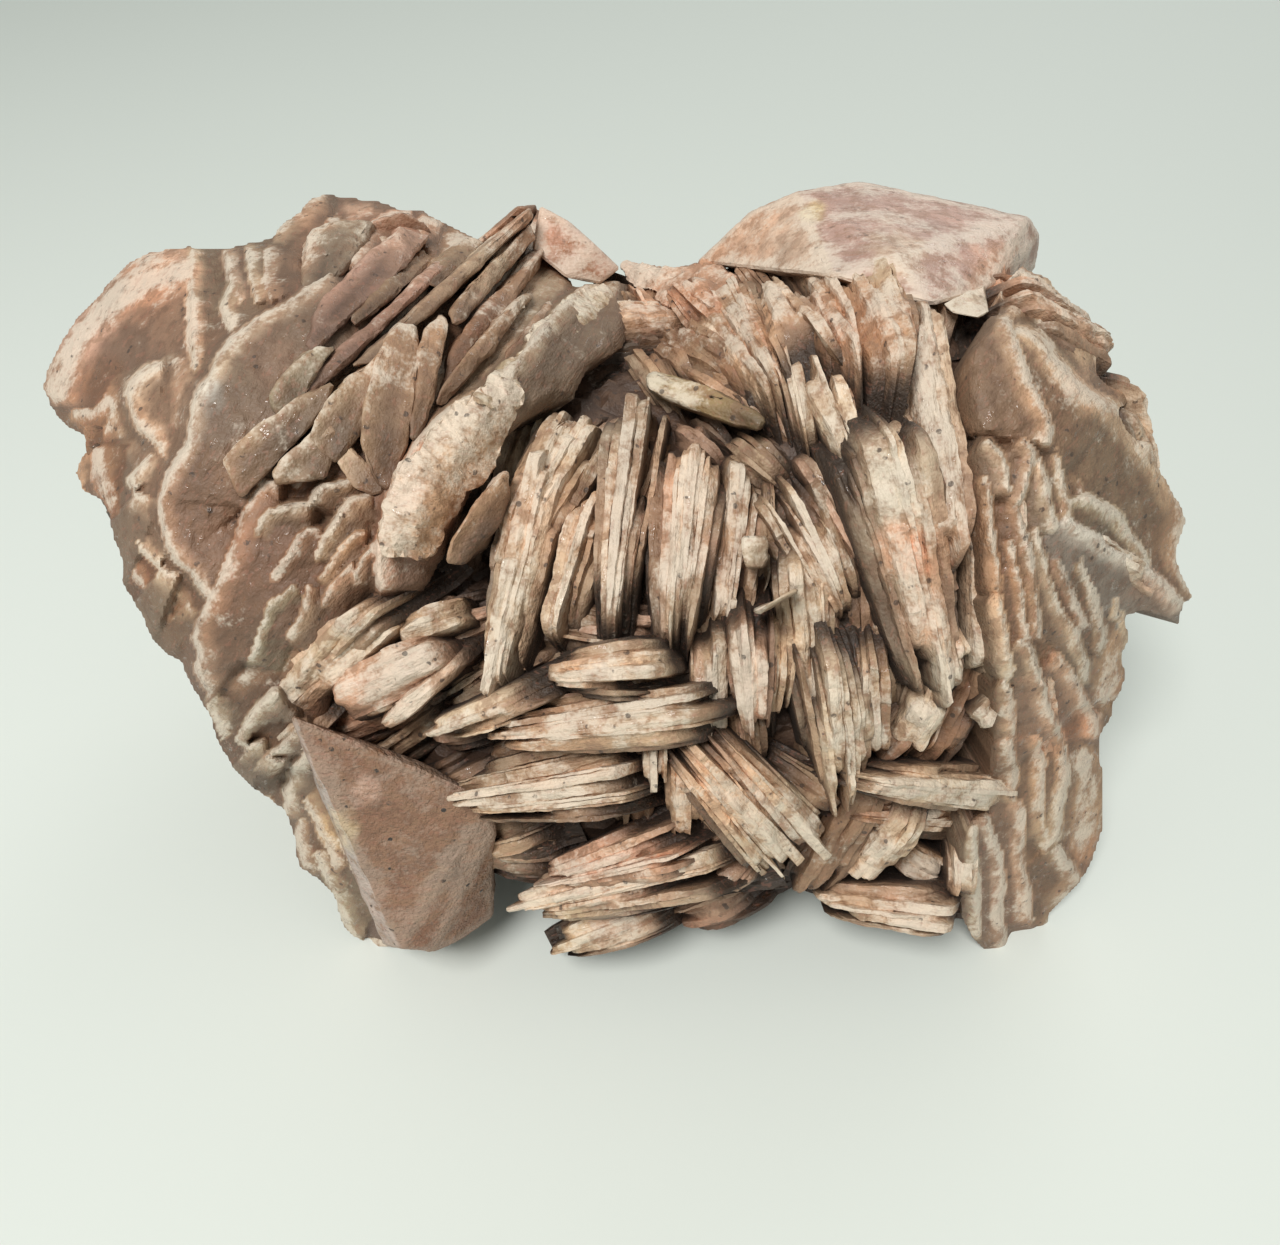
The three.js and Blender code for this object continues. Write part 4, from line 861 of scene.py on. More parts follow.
def flushed(colour, place):
    """A colour, turned towards those of the patches that it lies in."""
    sight = place - VIEWPOINT
    forward = sight.y * math.cos(VIEW_DIP) - sight.z * math.sin(VIEW_DIP)
    across = PLANE_DISTANCE * sight.x / forward
    up = PLANE_DISTANCE * (sight.y * math.sin(VIEW_DIP) + sight.z * math.cos(VIEW_DIP)) / forward
    if place.y > 25 and place.z < 40:
        return colour
    drift = 0.45 * noise.noise(place * 0.5)
    for x, y, radius, tone, share in FLUSHES:
        away = math.hypot(across - x, up - y) / radius + drift
        if away < 1:
            weight = share * min(1, 2 * (1 - away))
            colour = [(1 - weight) * a + weight * b for a, b in zip(colour, TONES[tone])]
    return colour


def paint(crystal, v, colour, shade, depth, place):
    """Sets one vertex's tint and its closeness to the outer rim."""
    layers = crystal.verts.layers
    red, green, blue = patches(place)
    colour = flushed(colour, place)
    v[layers.float_color["tint"]] = (colour[0] * shade * red, colour[1] * shade * green,
                                     colour[2] * shade * blue, 1)
    # The closeness to the rim becomes pale frost with painted highlight near the rim, and painted shade deeper
    # down.
    v[layers.float["rim"]] = math.exp(-max(depth, 0) / 1.7)


def mixed(rng, tone):
    """A tone a little off the named one, as each blade has its own."""
    own = TONES[tone]
    other = TONES[rng.choice(["cream", "grey", "rose", "tan", "brown", "brown"])]
    share = 0.6 * rng.random()
    shade = rng.uniform(0.76, 1.14)
    return [shade * ((1 - share) * a + share * b) for a, b in zip(own, other)]


class Blade:
    """One blade of a sheaf: where it starts and ends, and how its crest is stepped."""

    def __init__(self, rng, t, length, reach, taper, jag, dome):
        shy = 0.8 * taper * abs(t) ** 1.4
        self.half = length / 2
        self.start = self.half * (-1 + shy * rng.uniform(0.5, 1.3) + 0.34 * rng.random() ** 1.6)
        self.finish = self.half * (1 - shy * rng.uniform(0.5, 1.3) - 0.34 * rng.random() ** 1.6)
        if rng.random() < 0.3 and length > 8:
            self.start += rng.uniform(0, 0.3) * length * rng.choice([0, 1])
            self.finish -= rng.uniform(0, 0.3) * length * rng.choice([0, 1])
        self.tip = rng.uniform(1.2, 4.5) * (0.4 + 2.2 * taper)
        self.drop = rng.uniform(0.45, 1) * min(reach * 0.6, 3.8)
        self.crown = taper * 0.05 * length
        self.low = dome * t * t + rng.random() ** 1.5 * jag
        self.seed = rng.uniform(0, 100)
        self.reach = reach
        self.steps = []
        x = self.start
        while x < self.finish:
            x += rng.uniform(2, 10)
            self.steps.append((x, 1.1 * jag * rng.random() ** 2))

    def share(self, x):
        """0 at the blade's ends, 1 past its tips."""
        inside = min(x - self.start, self.finish - x)
        return min(max(inside / self.tip, 0), 1)

    def height(self, x):
        """The level of the crest at x, and how far it lies under the sheaf's outer surface."""
        level = next((step for end, step in self.steps if x < end), 0)
        outer = abs(x / self.half)
        surface = -self.crown * outer ** 3
        depth = self.low + level + 0.22 * noise.noise(Vector((x * 0.45, self.seed, 0)))
        end = min(max((outer - 0.68) / 0.25, 0), 1)
        drop = self.drop + (self.reach - self.drop) * end
        depth += drop * (1 - self.share(x) ** 0.5)
        beyond = max(self.start - x, x - self.finish, 0)
        depth += 1.1 * beyond
        return max(surface - depth, -0.97 * self.reach), depth


def lines_across(rng, width, thickness):
    """The lines of a sheaf from one side to the other: (kind, blade, share across the blade, place)."""
    count = max(1, round(width / thickness))
    shares = [rng.choice([0.35, 0.5, 0.7, 0.9, 1.1, 1.4, 1.8]) * rng.uniform(0.85, 1.15) for _ in range(count)]
    scale = width / sum(shares)
    lines = [("wall", 0, share, -width / 2) for share in (1, 0.62, 0.34, 0.14)]
    place = -width / 2
    for i, own in enumerate(shares):
        if i:
            lines.append(("groove", i, 0, place))
        crest = min(max(2, round(own * scale / 0.36)), 8)
        for k in range(crest):
            share = k / (crest - 1)
            lines.append(("crest", i, share, place + own * scale * (0.1 + 0.8 * share)))
        place += own * scale
    lines += [("wall", count - 1, share, width / 2) for share in (0.14, 0.34, 0.62, 1)]
    middles = [sum(line[3] for line in lines if line[0] == "crest" and line[1] == i)
               / sum(1 for line in lines if line[0] == "crest" and line[1] == i) for i in range(count)]
    return lines, middles


def sheaf(piece, name, centre, along, outward, length, width, lean, thickness, reach, taper, fan, tone,
          jag=0.6, step=STEP, sunk_shade=0):
    """Blades grown together side by side, running along one direction and leaning about it."""
    rng = random.Random(name)
    lines, middles = lines_across(rng, width, thickness)
    dome = 0.34 * width if len(middles) > 1 else 0
    blades = []
    for middle in middles:
        blades.append(Blade(rng, 2 * middle / width, length, reach, taper, jag, dome))
    colours = [mixed(rng, tone) for _ in blades]
    steps = max(6, round(length / step))
    spread = math.tan(min(math.radians(fan), math.atan(0.8 * width / length)))
    seed = rng.uniform(0, 100)
    narrow = min(0.2, 0.4 * taper) if fan < 8 else 0
    crystal = new_crystal()
    bmesh.ops.create_grid(crystal, x_segments=steps, y_segments=len(lines) - 1, size=1)
    grain = crystal.verts.layers.float_vector["grain"]
    offset = Vector([rng.uniform(0, 300) for _ in range(3)])
    out = (outward - along * outward.dot(along)).normalized()
    side = along.cross(out)
    turn = math.radians(lean)
    leaning = side * math.cos(turn) + out * math.sin(turn)
    matrix = Matrix((along, leaning.cross(along), side)).transposed().to_4x4()
    matrix.translation = centre
    for v in crystal.verts:
        s = round((v.co.x + 1) / 2 * steps)
        kind, i, share, z = lines[round((v.co.y + 1) / 2 * (len(lines) - 1))]
        x = (s / steps * 2 - 1) * length / 2
        blade = blades[i]
        y, depth = blade.height(x)
        fused = noise.noise(Vector((x * 0.09, z * 0.26, seed + 70))) * 3 + 0.3
        fused = min(max(fused, 0), 0.7) * blade.share(x)
        left = noise.noise(Vector((x * 0.25, i * 5.1 + seed, 9)))
        if kind == "groove":
            before, other = blades[i - 1].height(x)
            cut = noise.noise(Vector((x * 0.14, i * 3.7 + seed, 5)))
            cut = (0.14 + 1.2 * max(0, cut)) * (1 - fused)
            y = max(min(y, before) - cut, -0.97 * reach)
            depth = max(depth, other) + cut
            z += thickness * (0.12 * left + 0.2 * noise.noise(Vector((x * 1.1, i * 2.3 + seed, 3))))
        elif kind == "crest":
            right = noise.noise(Vector((x * 0.25, (i + 1) * 5.1 + seed, 9)))
            y -= 0.16 * thickness * abs(2 * share - 1) ** 2.5
            z += thickness * 0.12 * ((1 - share) * left + share * right)
            y -= 0.3 * max(0, noise.noise(Vector((x * 0.9, z * 0.7, seed + 20))))
            z = middles[i] + (z - middles[i]) * (0.15 + 0.85 * blade.share(x) ** 0.7)
        else:
            y = y + share * (-reach - y)
            depth += share * reach
            z += 0.18 * thickness * noise.noise(Vector((x * 0.4, share * 6, seed)))
        if kind != "wall":
            smooth = -dome * (2 * z / width) ** 2 - blade.crown * abs(2 * x / length) ** 3 - 0.25
            if y < smooth:
                depth -= fused * (smooth - y)
                y += fused * (smooth - y)
        if s in (0, steps):
            y = -reach
        lump = noise.noise(Vector((x * 0.35, z * 0.9, seed)))
        lump += 1.3 * abs(noise.noise(Vector((x * 0.16, z * 1.5, seed + 40)))) - 0.3
        at = Vector((x, y, z))
        rough = noise.noise_vector((at + offset) * 1.2) * 0.15 + noise.noise_vector((at + offset) * 2.6) * 0.08
        rough.z *= 0.5
        if y > -reach * 0.98:
            at += rough + Vector((0, 0.38 * lump, 0))
            depth -= 0.38 * lump
        wobble = 0.12 * noise.noise(Vector((x * 0.1, z * 0.35, seed)))
        at.z = at.z * (1 - narrow * abs(2 * x / length) ** 2.4) + wobble + x * spread * 2 * z / width
        v.co = at
        v[grain] = at + offset
        # Painted shade: the depth under the sheaf's outer surface darkens grooves, walls and low blades, and raised
        # lumps are painted paler.
        paint(crystal, v, colours[i], 1, depth + sunk_shade, matrix @ at)
    boundary = [e for e in crystal.edges if e.is_boundary]
    bmesh.ops.holes_fill(crystal, edges=boundary, sides=0)
    bmesh.ops.recalc_face_normals(crystal, faces=crystal.faces)
    piece.add(crystal, matrix)


def refine(crystal, size):
    """Splits every edge longer than size until all are shorter."""
    bmesh.ops.triangulate(crystal, faces=crystal.faces)
    for _ in range(7):
        long_edges = [e for e in crystal.edges if e.calc_length() > size]
        if not long_edges:
            break
        bmesh.ops.subdivide_edges(crystal, edges=long_edges, cuts=1)
        bmesh.ops.triangulate(crystal, faces=[f for f in crystal.faces if len(f.verts) > 3])


def weather(crystal, seed, lumps, pits):
    """Moves the surface in and out by broad lumps and fine pits, in mm."""
    crystal.normal_update()
    moves = []
    for v in crystal.verts:
        at = v.co + Vector((seed, 2 * seed, -seed))
        lump = noise.fractal(at * 0.38, 0.8, 2.1, 3)
        terrace = round(lump * 4) / 4
        pit = noise.noise(at * 2.4)
        moves.append(v.normal * (lumps * (0.6 * lump + 0.4 * terrace) + pits * pit))
    for v, move in zip(crystal.verts, moves):
        v.co += move


def seen_sheaf(piece, row, step=STEP, sunk_shade=0):
    """A sheaf that the viewpoint shows, from its two ends on the plane."""
    name, start, end, width, lean, thickness, standing, taper, fan, tone = row
    a = on_body(*start, standing)[0]
    b = on_body(*end, standing)[0]
    middle = ((start[0] + end[0]) / 2, (start[1] + end[1]) / 2)
    place, outward, to_viewer, distance = on_body(*middle, standing)
    centre = ((a + b) / 2).lerp(place, 0.5)
    along = b - a
    outward = to_viewer.lerp(outward, LEAN_IN).normalized()
    width *= distance / PLANE_DISTANCE * 1.22
    if thickness < 1.5:
        thickness = min(max(thickness * 1.15, 0.7), 1.25)
    sheaf(piece, name, centre, along.normalized(), outward, along.length, width, lean, thickness,
          standing + REACH, taper, fan, tone, step=step, sunk_shade=sunk_shade)


def deep_blades(piece):
    """Deeper blades that fill the hollows between the sheaves, run much as the nearest sheaf does."""
    rng = random.Random("deep blades")
    seen = [row for rows in SHEAVES.values() for row in rows if row[3] > 2.4]
    for row_up in range(-6, 8):
        for column in range(-7, 8):
            spot = Vector((column * 7.5 + rng.uniform(-2, 2), row_up * 7.5 + rng.uniform(-2, 2)))
            direction = sight_to(spot.x, spot.y)
            if meet_body(VIEWPOINT, direction)[2] > 0 or any(beyond_outline(*spot, area[0]) < 0
                                                               for area in OVERLAPPING.values()):
                continue
            near = min(seen, key=lambda row: ((Vector(row[1]) + Vector(row[2])) / 2 - spot).length)
            run = (Vector(near[2]) - Vector(near[1])).normalized()
            run.rotate(Matrix.Rotation(math.radians(rng.uniform(-14, 14)), 2))
            half = run * rng.uniform(5, 10)
            name = f"deep_{column}_{row_up}"
            tone = rng.choice(["tan", "tan", "brownrose", "rose", "cream"])
            # These deeper blades are painted darker by sunk_shade, as painted shade in the hollows.
            seen_sheaf(piece, (name, spot - half, spot + half, rng.uniform(5, 8), near[4], 0.8,
                               rng.uniform(-3.5, -1), 0.5, 3, tone), step=0.6, sunk_shade=1.3)


def far_sheaf(piece, row):
    """A sheaf round the sides and back."""
    turn, rise, run, length, width = row
    round_body = math.radians(turn)
    height = math.radians(rise)
    direction = Vector((math.sin(round_body) * math.cos(height), -math.cos(round_body) * math.cos(height),
                        math.sin(height)))
    far = BODY_CENTRE + direction * 200
    along, outward, miss = meet_body(far, -direction)
    centre = far + direction * (FAR_STANDING - along)
    level = Vector((0, 0, 1)).cross(outward).normalized()
    upright = outward.cross(level)
    axis = upright * math.cos(math.radians(run)) + level * math.sin(math.radians(run))
    name = f"far_{turn}_{rise}"
    tone = random.Random(name).choice(["cream", "grey", "tan", "rose"])
    sheaf(piece, name, centre, axis, outward, length, width, 12, 1.1, FAR_STANDING + REACH, 0.35, 6, tone, 1.0)


class Ridge:
    """The lit rim of one of the overlapping plates, and the face that falls away from it."""

    def __init__(self, row, lit):
        self.tone, fall, cliff, self.width, self.points = row
        self.lit = lit
        self.fall = fall
        self.cliff = cliff if cliff < 1 else 3 * cliff
        xs = [p[0] for p in self.points]
        ys = [p[1] for p in self.points]
        self.box = min(xs), max(xs), min(ys), max(ys)
        self.top = max(p[2] for p in self.points)

    def at_most(self, x, y):
        """A level that the plate doesn't pass at (x, y)."""
        low_x, high_x, low_y, high_y = self.box
        away = math.hypot(max(low_x - x, x - high_x, 0), max(low_y - y, y - high_y, 0))
        return self.top - min(self.fall, self.cliff) * away

    def height(self, x, y):
        """The plate's level at (x, y), a depth for the paint, and how far along the rim. The depth stays small on
        the lit side, where the finish paints it pale, and grows down the face away from the light, partly the
        face's own browner tone and partly painted shade.
        """
        best = None
        run = 0
        for i, (a, b) in enumerate(zip(self.points, self.points[1:])):
            dx, dy = b[0] - a[0], b[1] - a[1]
            size = dx * dx + dy * dy
            share = ((x - a[0]) * dx + (y - a[1]) * dy) / size
            near = min(max(share, 0), 1)
            off_x, off_y = x - a[0] - near * dx, y - a[1] - near * dy
            gap = off_x * off_x + off_y * off_y
            if best is None or gap < best[0]:
                length = math.sqrt(size)
                end = (i == 0 and share < 0) or (i == len(self.points) - 2 and share > 1)
                past = abs(share - near) * length if end else 0
                best = gap, a[2] + near * (b[2] - a[2]), off_x, off_y, run + near * length, past
            run += math.sqrt(size)
        gap, rim, off_x, off_y, along, past = best
        away = math.sqrt(gap)
        lit = off_x * self.lit[0] + off_y * self.lit[1] > 0
        if lit:
            under = self.cliff * away
        else:
            under = self.fall * away + 0.7 * max(0, away - self.width)
            under += 0.35 * abs(noise.noise(Vector((along * 0.16, away * 1.1, self.top * 9))))
        under = min(under + 2.4 * past, 3.8 + 0.8 * (away + past))
        return rim - under, (0.2 * under if lit else 0.9 * under + 0.75 * min(away, 4)), along


def beyond_outline(x, y, outline):
    """How far (x, y) is from the outline, below 0 inside it."""
    nearest = 1e9
    inside = False
    for (ax, ay), (bx, by) in zip(outline, outline[1:] + outline[:1]):
        dx, dy = bx - ax, by - ay
        share = min(max(((x - ax) * dx + (y - ay) * dy) / (dx * dx + dy * dy), 0), 1)
        gap = (x - ax - share * dx) ** 2 + (y - ay - share * dy) ** 2
        nearest = min(nearest, gap)
        if (ay > y) != (by > y) and x < ax + dx * (y - ay) / dy:
            inside = not inside
    return -math.sqrt(nearest) if inside else math.sqrt(nearest)


def overlapping_plates(piece, outline, lit, rows, middle, shade):
    """Plates grown over each other like shingles, each pale at its rim on the lit side, as frost and painted
    highlight, and painted darker down the face away from the light and in hollows, as painted shade.
    """
    ridges = [Ridge(row, lit) for row in rows]
    xs = [x for x, y in outline]
    ys = [y for x, y in outline]
    low_x, low_y = min(xs) - 1, min(ys) - 1
    columns = round((max(xs) + 1 - low_x) / STEP)
    lines = round((max(ys) + 1 - low_y) / STEP)
    crystal = new_crystal()
    bmesh.ops.create_grid(crystal, x_segments=columns, y_segments=lines, size=1)
    levels = {}
    spots = {}
    outside = []
    for v in crystal.verts:
        i = round((v.co.x + 1) / 2 * columns)
        j = round((v.co.y + 1) / 2 * lines)
        x = low_x + i * STEP
        y = low_y + j * STEP
        at = Vector((x, y, 0))
        warp = noise.noise_vector(at * 0.35) * 0.25 + noise.noise_vector(at * 1.1) * 0.14
        beyond = beyond_outline(x + warp.x * 0.6, y + warp.y * 0.6, outline)
        if beyond > 0.1:
            outside.append(v)
            continue
        x += warp.x
        y += warp.y
        best = (-8, 4, 0, ridges[0])
        for ridge in ridges:
            if ridge.at_most(x, y) > best[0]:
                level, depth, along = ridge.height(x, y)
                if level > best[0]:
                    best = (level, depth, along, ridge)
        level = best[0] - 1.8 * max(0, 1 + beyond / 2.2) ** 2
        cells, middles = noise.voronoi(at * 0.75 + warp)
        level += 0.30 * noise.fractal(at * 0.33, 0.8, 2.1, 2) + 0.42 * (cells[1] - cells[0]) - 0.25
        level += 0.15 * noise.noise(at * 1.6)
        levels[i, j] = level
        spots[v] = (i, j, best)
    bmesh.ops.delete(crystal, geom=outside, context="VERTS")
    rng = random.Random(piece.name)
    colours = {ridge: [shade * c for c in mixed(rng, ridge.tone)] for ridge in ridges}
    grain = crystal.verts.layers.float_vector["grain"]
    for v in crystal.verts:
        i, j, (flat, depth, along, ridge) = spots[v]
        level = levels[i, j]
        # Painted shade: spots lower than their neighbours are painted darker.
        around = [levels.get((i + a, j + b), level) for a, b in AROUND]
        hollow_shade = max(0, sum(around) / len(around) - level)
        x, y = low_x + i * STEP, low_y + j * STEP
        v.co = on_body(x, y, level, 0.22)[0]
        v[grain] = Vector((0.6 * x + 0.8 * y, 0.8 * x - 0.6 * y, level))
        paint(crystal, v, colours[ridge], 1, min(depth + 1.8 * hollow_shade, 2.8), v.co)
    bmesh.ops.smooth_vert(crystal, verts=crystal.verts, factor=0.4, use_axis_x=True, use_axis_y=True,
                          use_axis_z=True)
    edges = [e for e in crystal.edges if e.is_boundary]
    rims = list({v for e in edges for v in e.verts})
    for _ in range(3):
        bmesh.ops.smooth_vert(crystal, verts=rims, factor=0.5, use_axis_x=True, use_axis_y=True, use_axis_z=True)
    grown = bmesh.ops.extrude_edge_only(crystal, edges=edges)
    backs = [g for g in grown["geom"] if isinstance(g, bmesh.types.BMVert)]
    for v in backs:
        v.co = v.co.lerp(middle, 0.38)
        # The walls going back into the body are painted as deep shade.
        v[crystal.verts.layers.float["rim"]] = 0.12
    boundary = [e for e in crystal.edges if e.is_boundary]
    bmesh.ops.holes_fill(crystal, edges=boundary, sides=0)
    bmesh.ops.recalc_face_normals(crystal, faces=crystal.faces)
    piece.add(crystal)


def plane_of(points):
    """A point on, and the normal of, the plane that lies best along a closed outline."""
    middle = sum(points, Vector()) / len(points)
    normal = Vector()
    for i, point in enumerate(points):
        normal += point.cross(points[(i + 1) % len(points)])
    return middle, normal.normalized()


def softened(points):
    """An outline with its corners cut once."""
    cut = []
    for i, point in enumerate(points):
        following = points[(i + 1) % len(points)]
        cut += [point.lerp(following, 0.22), point.lerp(following, 0.78)]
    return cut


def broad_crystal(piece, row):
    """A broad crystal: a gently domed front with a ragged outline, its back deep in the body."""
    name, thickness, ragged, tone, corners = row
    rng = random.Random(name)
    seen = [on_body(*corner) for corner in corners]
    middle, normal = plane_of([s[0] for s in seen])
    towards = sum((s[2] for s in seen), Vector()).normalized()
    if normal.dot(towards) < 0:
        normal = -normal
    fronts = []
    for point, outward, to_viewer, distance in seen:
        reach = (middle - VIEWPOINT).dot(normal) / (-to_viewer).dot(normal)
        fronts.append(VIEWPOINT - to_viewer * reach)
    outline = []
    fronts = softened(fronts)
    for i, point in enumerate(fronts):
        following = fronts[(i + 1) % len(fronts)]
        parts = max(1, round((following - point).length / 0.8))
        for k in range(parts):
            at = point.lerp(following, k / parts)
            pull = ragged * (1.2 * noise.noise(at * 0.4) + 0.35 * noise.noise(at * 1.1) + 0.12 * rng.uniform(-1, 1))
            outline.append(at + (at - middle).normalized() * pull)
    crystal = new_crystal()
    rims = [crystal.verts.new(point) for point in outline]
    face = crystal.faces.new(rims)
    grown = bmesh.ops.extrude_face_region(crystal, geom=[face])
    back = [v for v in grown["geom"] if isinstance(v, bmesh.types.BMVert)]
    bmesh.ops.translate(crystal, vec=-towards * thickness, verts=back)
    bmesh.ops.recalc_face_normals(crystal, faces=crystal.faces)
    refine(crystal, 0.8)
    grain = crystal.verts.layers.float_vector["grain"]
    across = normal.cross(GRAIN_LINE).normalized()
    upward = normal.cross(across)
    offset = Vector([rng.uniform(0, 300) for _ in range(3)])
    lit = [(point - middle).dot(LIT_SIDE) for point in outline]
    low, high = min(lit), max(lit)
    dome = 0.32 * thickness
    reach = max(2.4, 0.8 * thickness)
    slant = towards.dot(normal)
    depths = []
    for v in crystal.verts:
        behind = max(0, (middle - v.co).dot(normal)) / slant
        flat = v.co + towards * behind
        nearest = min((flat - point).length for point in outline)
        v.co -= towards * (dome * max(0, 1 - nearest / reach) ** 2 * max(0, 1 - behind / thickness))
        # Painted shade and highlight: darker behind the front and on the side away from the light, paler within 2
        # mm of the outline as frost and painted highlight.
        away_from_light = min(max((high - (v.co - middle).dot(LIT_SIDE)) / (high - low), 0), 1)
        depths.append(0.12 * min(nearest, 2) + 0.4 * behind + 1.5 * away_from_light ** 1.4)
        v[grain] = Vector((v.co.dot(across), v.co.dot(normal), v.co.dot(upward))) + offset
    weather(crystal, rng.uniform(0, 500), 0.55 * ragged + 0.12, 0.05 * ragged + 0.01)
    for v, depth in zip(crystal.verts, depths):
        paint(crystal, v, TONES[tone], 1, depth, v.co)
    piece.add(crystal)


def off_edge(place, edges):
    """How far a place is from the nearest of the edges, each a pair of ends."""
    best = 9
    for a, b in edges:
        run = b - a
        share = min(max((place - a).dot(run) / run.dot(run), 0), 1)
        best = min(best, (place - a - run * share).length)
    return best


def faceted_crystal(piece, row):
    """A crystal with flat faces, the hull of its front corners and of the same corners deeper in."""
    name, thickness, ragged, tone, corners = row
    rng = random.Random(name)
    crystal = new_crystal()
    is_bar = name.startswith("bar")
    for corner in corners:
        point, outward, to_viewer, distance = on_body(*corner)
        crystal.verts.new(point)
        crystal.verts.new(point - to_viewer * thickness)
    hull = bmesh.ops.convex_hull(crystal, input=crystal.verts)
    spare = {g for g in hull["geom_interior"] + hull["geom_unused"] if isinstance(g, bmesh.types.BMVert)}
    bmesh.ops.delete(crystal, geom=list(spare), context="VERTS")
    bmesh.ops.dissolve_limit(crystal, angle_limit=math.radians(8), verts=crystal.verts, edges=crystal.edges)
    ends = [v.co.copy() for v in crystal.verts]
    edges = [[v.co.copy() for v in e.verts] for e in crystal.edges if e.calc_face_angle(0) > 0.3]
    bmesh.ops.bevel(crystal, geom=crystal.edges[:], offset=0.3, affect="EDGES", segments=1, profile=0.5,
                    material=-1, clamp_overlap=True)
    refine(crystal, 0.8)
    grain = crystal.verts.layers.float_vector["grain"]
    offset = Vector([rng.uniform(0, 300) for _ in range(3)])
    crystal.normal_update()
    sides = [v.normal.x for v in crystal.verts]
    if is_bar:
        run = max(((b - a) for a in ends for b in ends), key=lambda gap: gap.length).normalized()
        side = run.cross(to_viewer).normalized()
        for v in crystal.verts:
            v[grain] = Vector((v.co.dot(run), v.co.dot(side), v.co.dot(run.cross(side)))) + offset
            at = v[grain]
            ribs = noise.noise(Vector((at.x * 0.1, at.y * 0.8, at.z * 0.5)))
            fine = noise.noise(Vector((at.x * 0.35, at.y * 1.9, at.z)))
            v.co += v.normal * (0.35 * ribs + 0.16 * fine)
    weather(crystal, rng.uniform(0, 500), 0.45 * ragged, 0.1 * ragged + 0.01)
    # Faces turned left or right take their side tones, partly painted light and shade.
    left_tone, right_tone = SIDE_TONES.get(name, (tone, tone))
    lit = [v.co.dot(LIT_SIDE) for v in crystal.verts]
    low, high = min(lit), max(lit)
    # Painted shade: bars grow darker across towards the side away from the light; every faceted crystal is paler
    # within 2 mm of its sharp edges, as frost and painted highlight.
    fall = 3 if is_bar else 0
    for v, side, light in zip(crystal.verts, sides, lit):
        if not is_bar:
            v[grain] = v.co + offset
        colour = TONES[left_tone] if side < -0.25 else TONES[right_tone] if side > 0.45 else TONES[tone]
        away_from_light = fall * ((high - light) / (high - low)) ** 1.3
        depth = 0.6 * min(off_edge(v.co, edges), 2) + away_from_light
        paint(crystal, v, colour, 0.78 if is_bar else 1, depth, v.co)
    piece.add(crystal)


def core(piece):
    """The middle that all the crystals grow from, painted near black so that the gaps between them show as painted
    shade.
    """
    for centre, radii in LOBES:
        crystal = new_crystal()
        bmesh.ops.create_icosphere(crystal, subdivisions=6, radius=CORE_SHARE)
        bmesh.ops.scale(crystal, vec=radii, verts=crystal.verts)
        weather(crystal, 3, 1.2, 0.6)
        for v in crystal.verts:
            paint(crystal, v, TONES["umber"], 1, 3, v.co)
        piece.add(crystal, Matrix.Translation(centre))


class Value:
    """A number's socket, for shader maths written as expressions."""

    def __init__(self, tree, socket):
        self.tree = tree
        self.socket = socket

    def maths(self, operation, a, b):
        node = self.tree.nodes.new("ShaderNodeMath")
        node.operation = operation
        for socket, value in zip(node.inputs, (a, b)):
            if isinstance(value, Value):
                self.tree.links.new(value.socket, socket)
            else:
                socket.default_value = value
        return Value(self.tree, node.outputs[0])

    def __add__(self, other):
        return self.maths("ADD", self, other)

    __radd__ = __add__

    def __mul__(self, other):
        return self.maths("MULTIPLY", self, other)

    __rmul__ = __mul__

    def __sub__(self, other):
        return self.maths("SUBTRACT", self, other)

    def __rsub__(self, other):
        return self.maths("SUBTRACT", other, self)

    def __pow__(self, other):
        return self.maths("POWER", self, other)

    def above(self, other):
        return self.maths("GREATER_THAN", self, other)

    def below(self, other):
        return self.maths("LESS_THAN", self, other)


class Finish:
    """A material, built node by node."""

    def __init__(self, name):
        self.material = bpy.data.materials.new(name)
        self.material.use_nodes = True
        self.tree = self.material.node_tree
        self.shader = self.tree.nodes["Principled BSDF"]

    def node(self, kind, settings=None, **values):
        made = self.tree.nodes.new(kind)
        for key, value in (settings or {}).items():
            setattr(made, key, value)
        for key, value in values.items():
            socket = made.inputs[key.replace("_", " ")]
            self.give(socket, value)
        return made

    def give(self, socket, value):
        if isinstance(value, Value):
            value = value.socket
        if isinstance(value, bpy.types.NodeSocket):
            self.tree.links.new(value, socket)
        else:
            socket.default_value = value

    def value(self, node, name="Fac"):
        return Value(self.tree, node.outputs[name])

    def attribute(self, name, kind="Fac"):
        return self.node("ShaderNodeAttribute", {"attribute_name": name}).outputs[kind]

    def mix(self, share, a, b, blend="MIX"):
        made = self.node("ShaderNodeMix", {"data_type": "RGBA", "blend_type": blend, "clamp_factor": True})
        self.give(made.inputs["Factor"], share)
        self.give(made.inputs[6], a)
        self.give(made.inputs[7], b)
        return made.outputs[2]

    def stretch(self, vector, scale):
        made = self.node("ShaderNodeVectorMath", {"operation": "MULTIPLY"})
        self.give(made.inputs[0], vector)
        self.give(made.inputs[1], scale)
        return made.outputs[0]

    def noise(self, vector, scale, detail=3, rough=0.55):
        made = self.node("ShaderNodeTexNoise", Vector=vector, Scale=scale, Detail=detail, Roughness=rough)
        return self.value(made, "Factor" if "Factor" in made.outputs else "Fac")

    def ramp(self, value, low, high):
        made = self.node("ShaderNodeMapRange", {"interpolation_type": "SMOOTHSTEP"})
        self.give(made.inputs["Value"], value)
        self.give(made.inputs["From Min"], low)
        self.give(made.inputs["From Max"], high)
        return Value(self.tree, made.outputs["Result"])


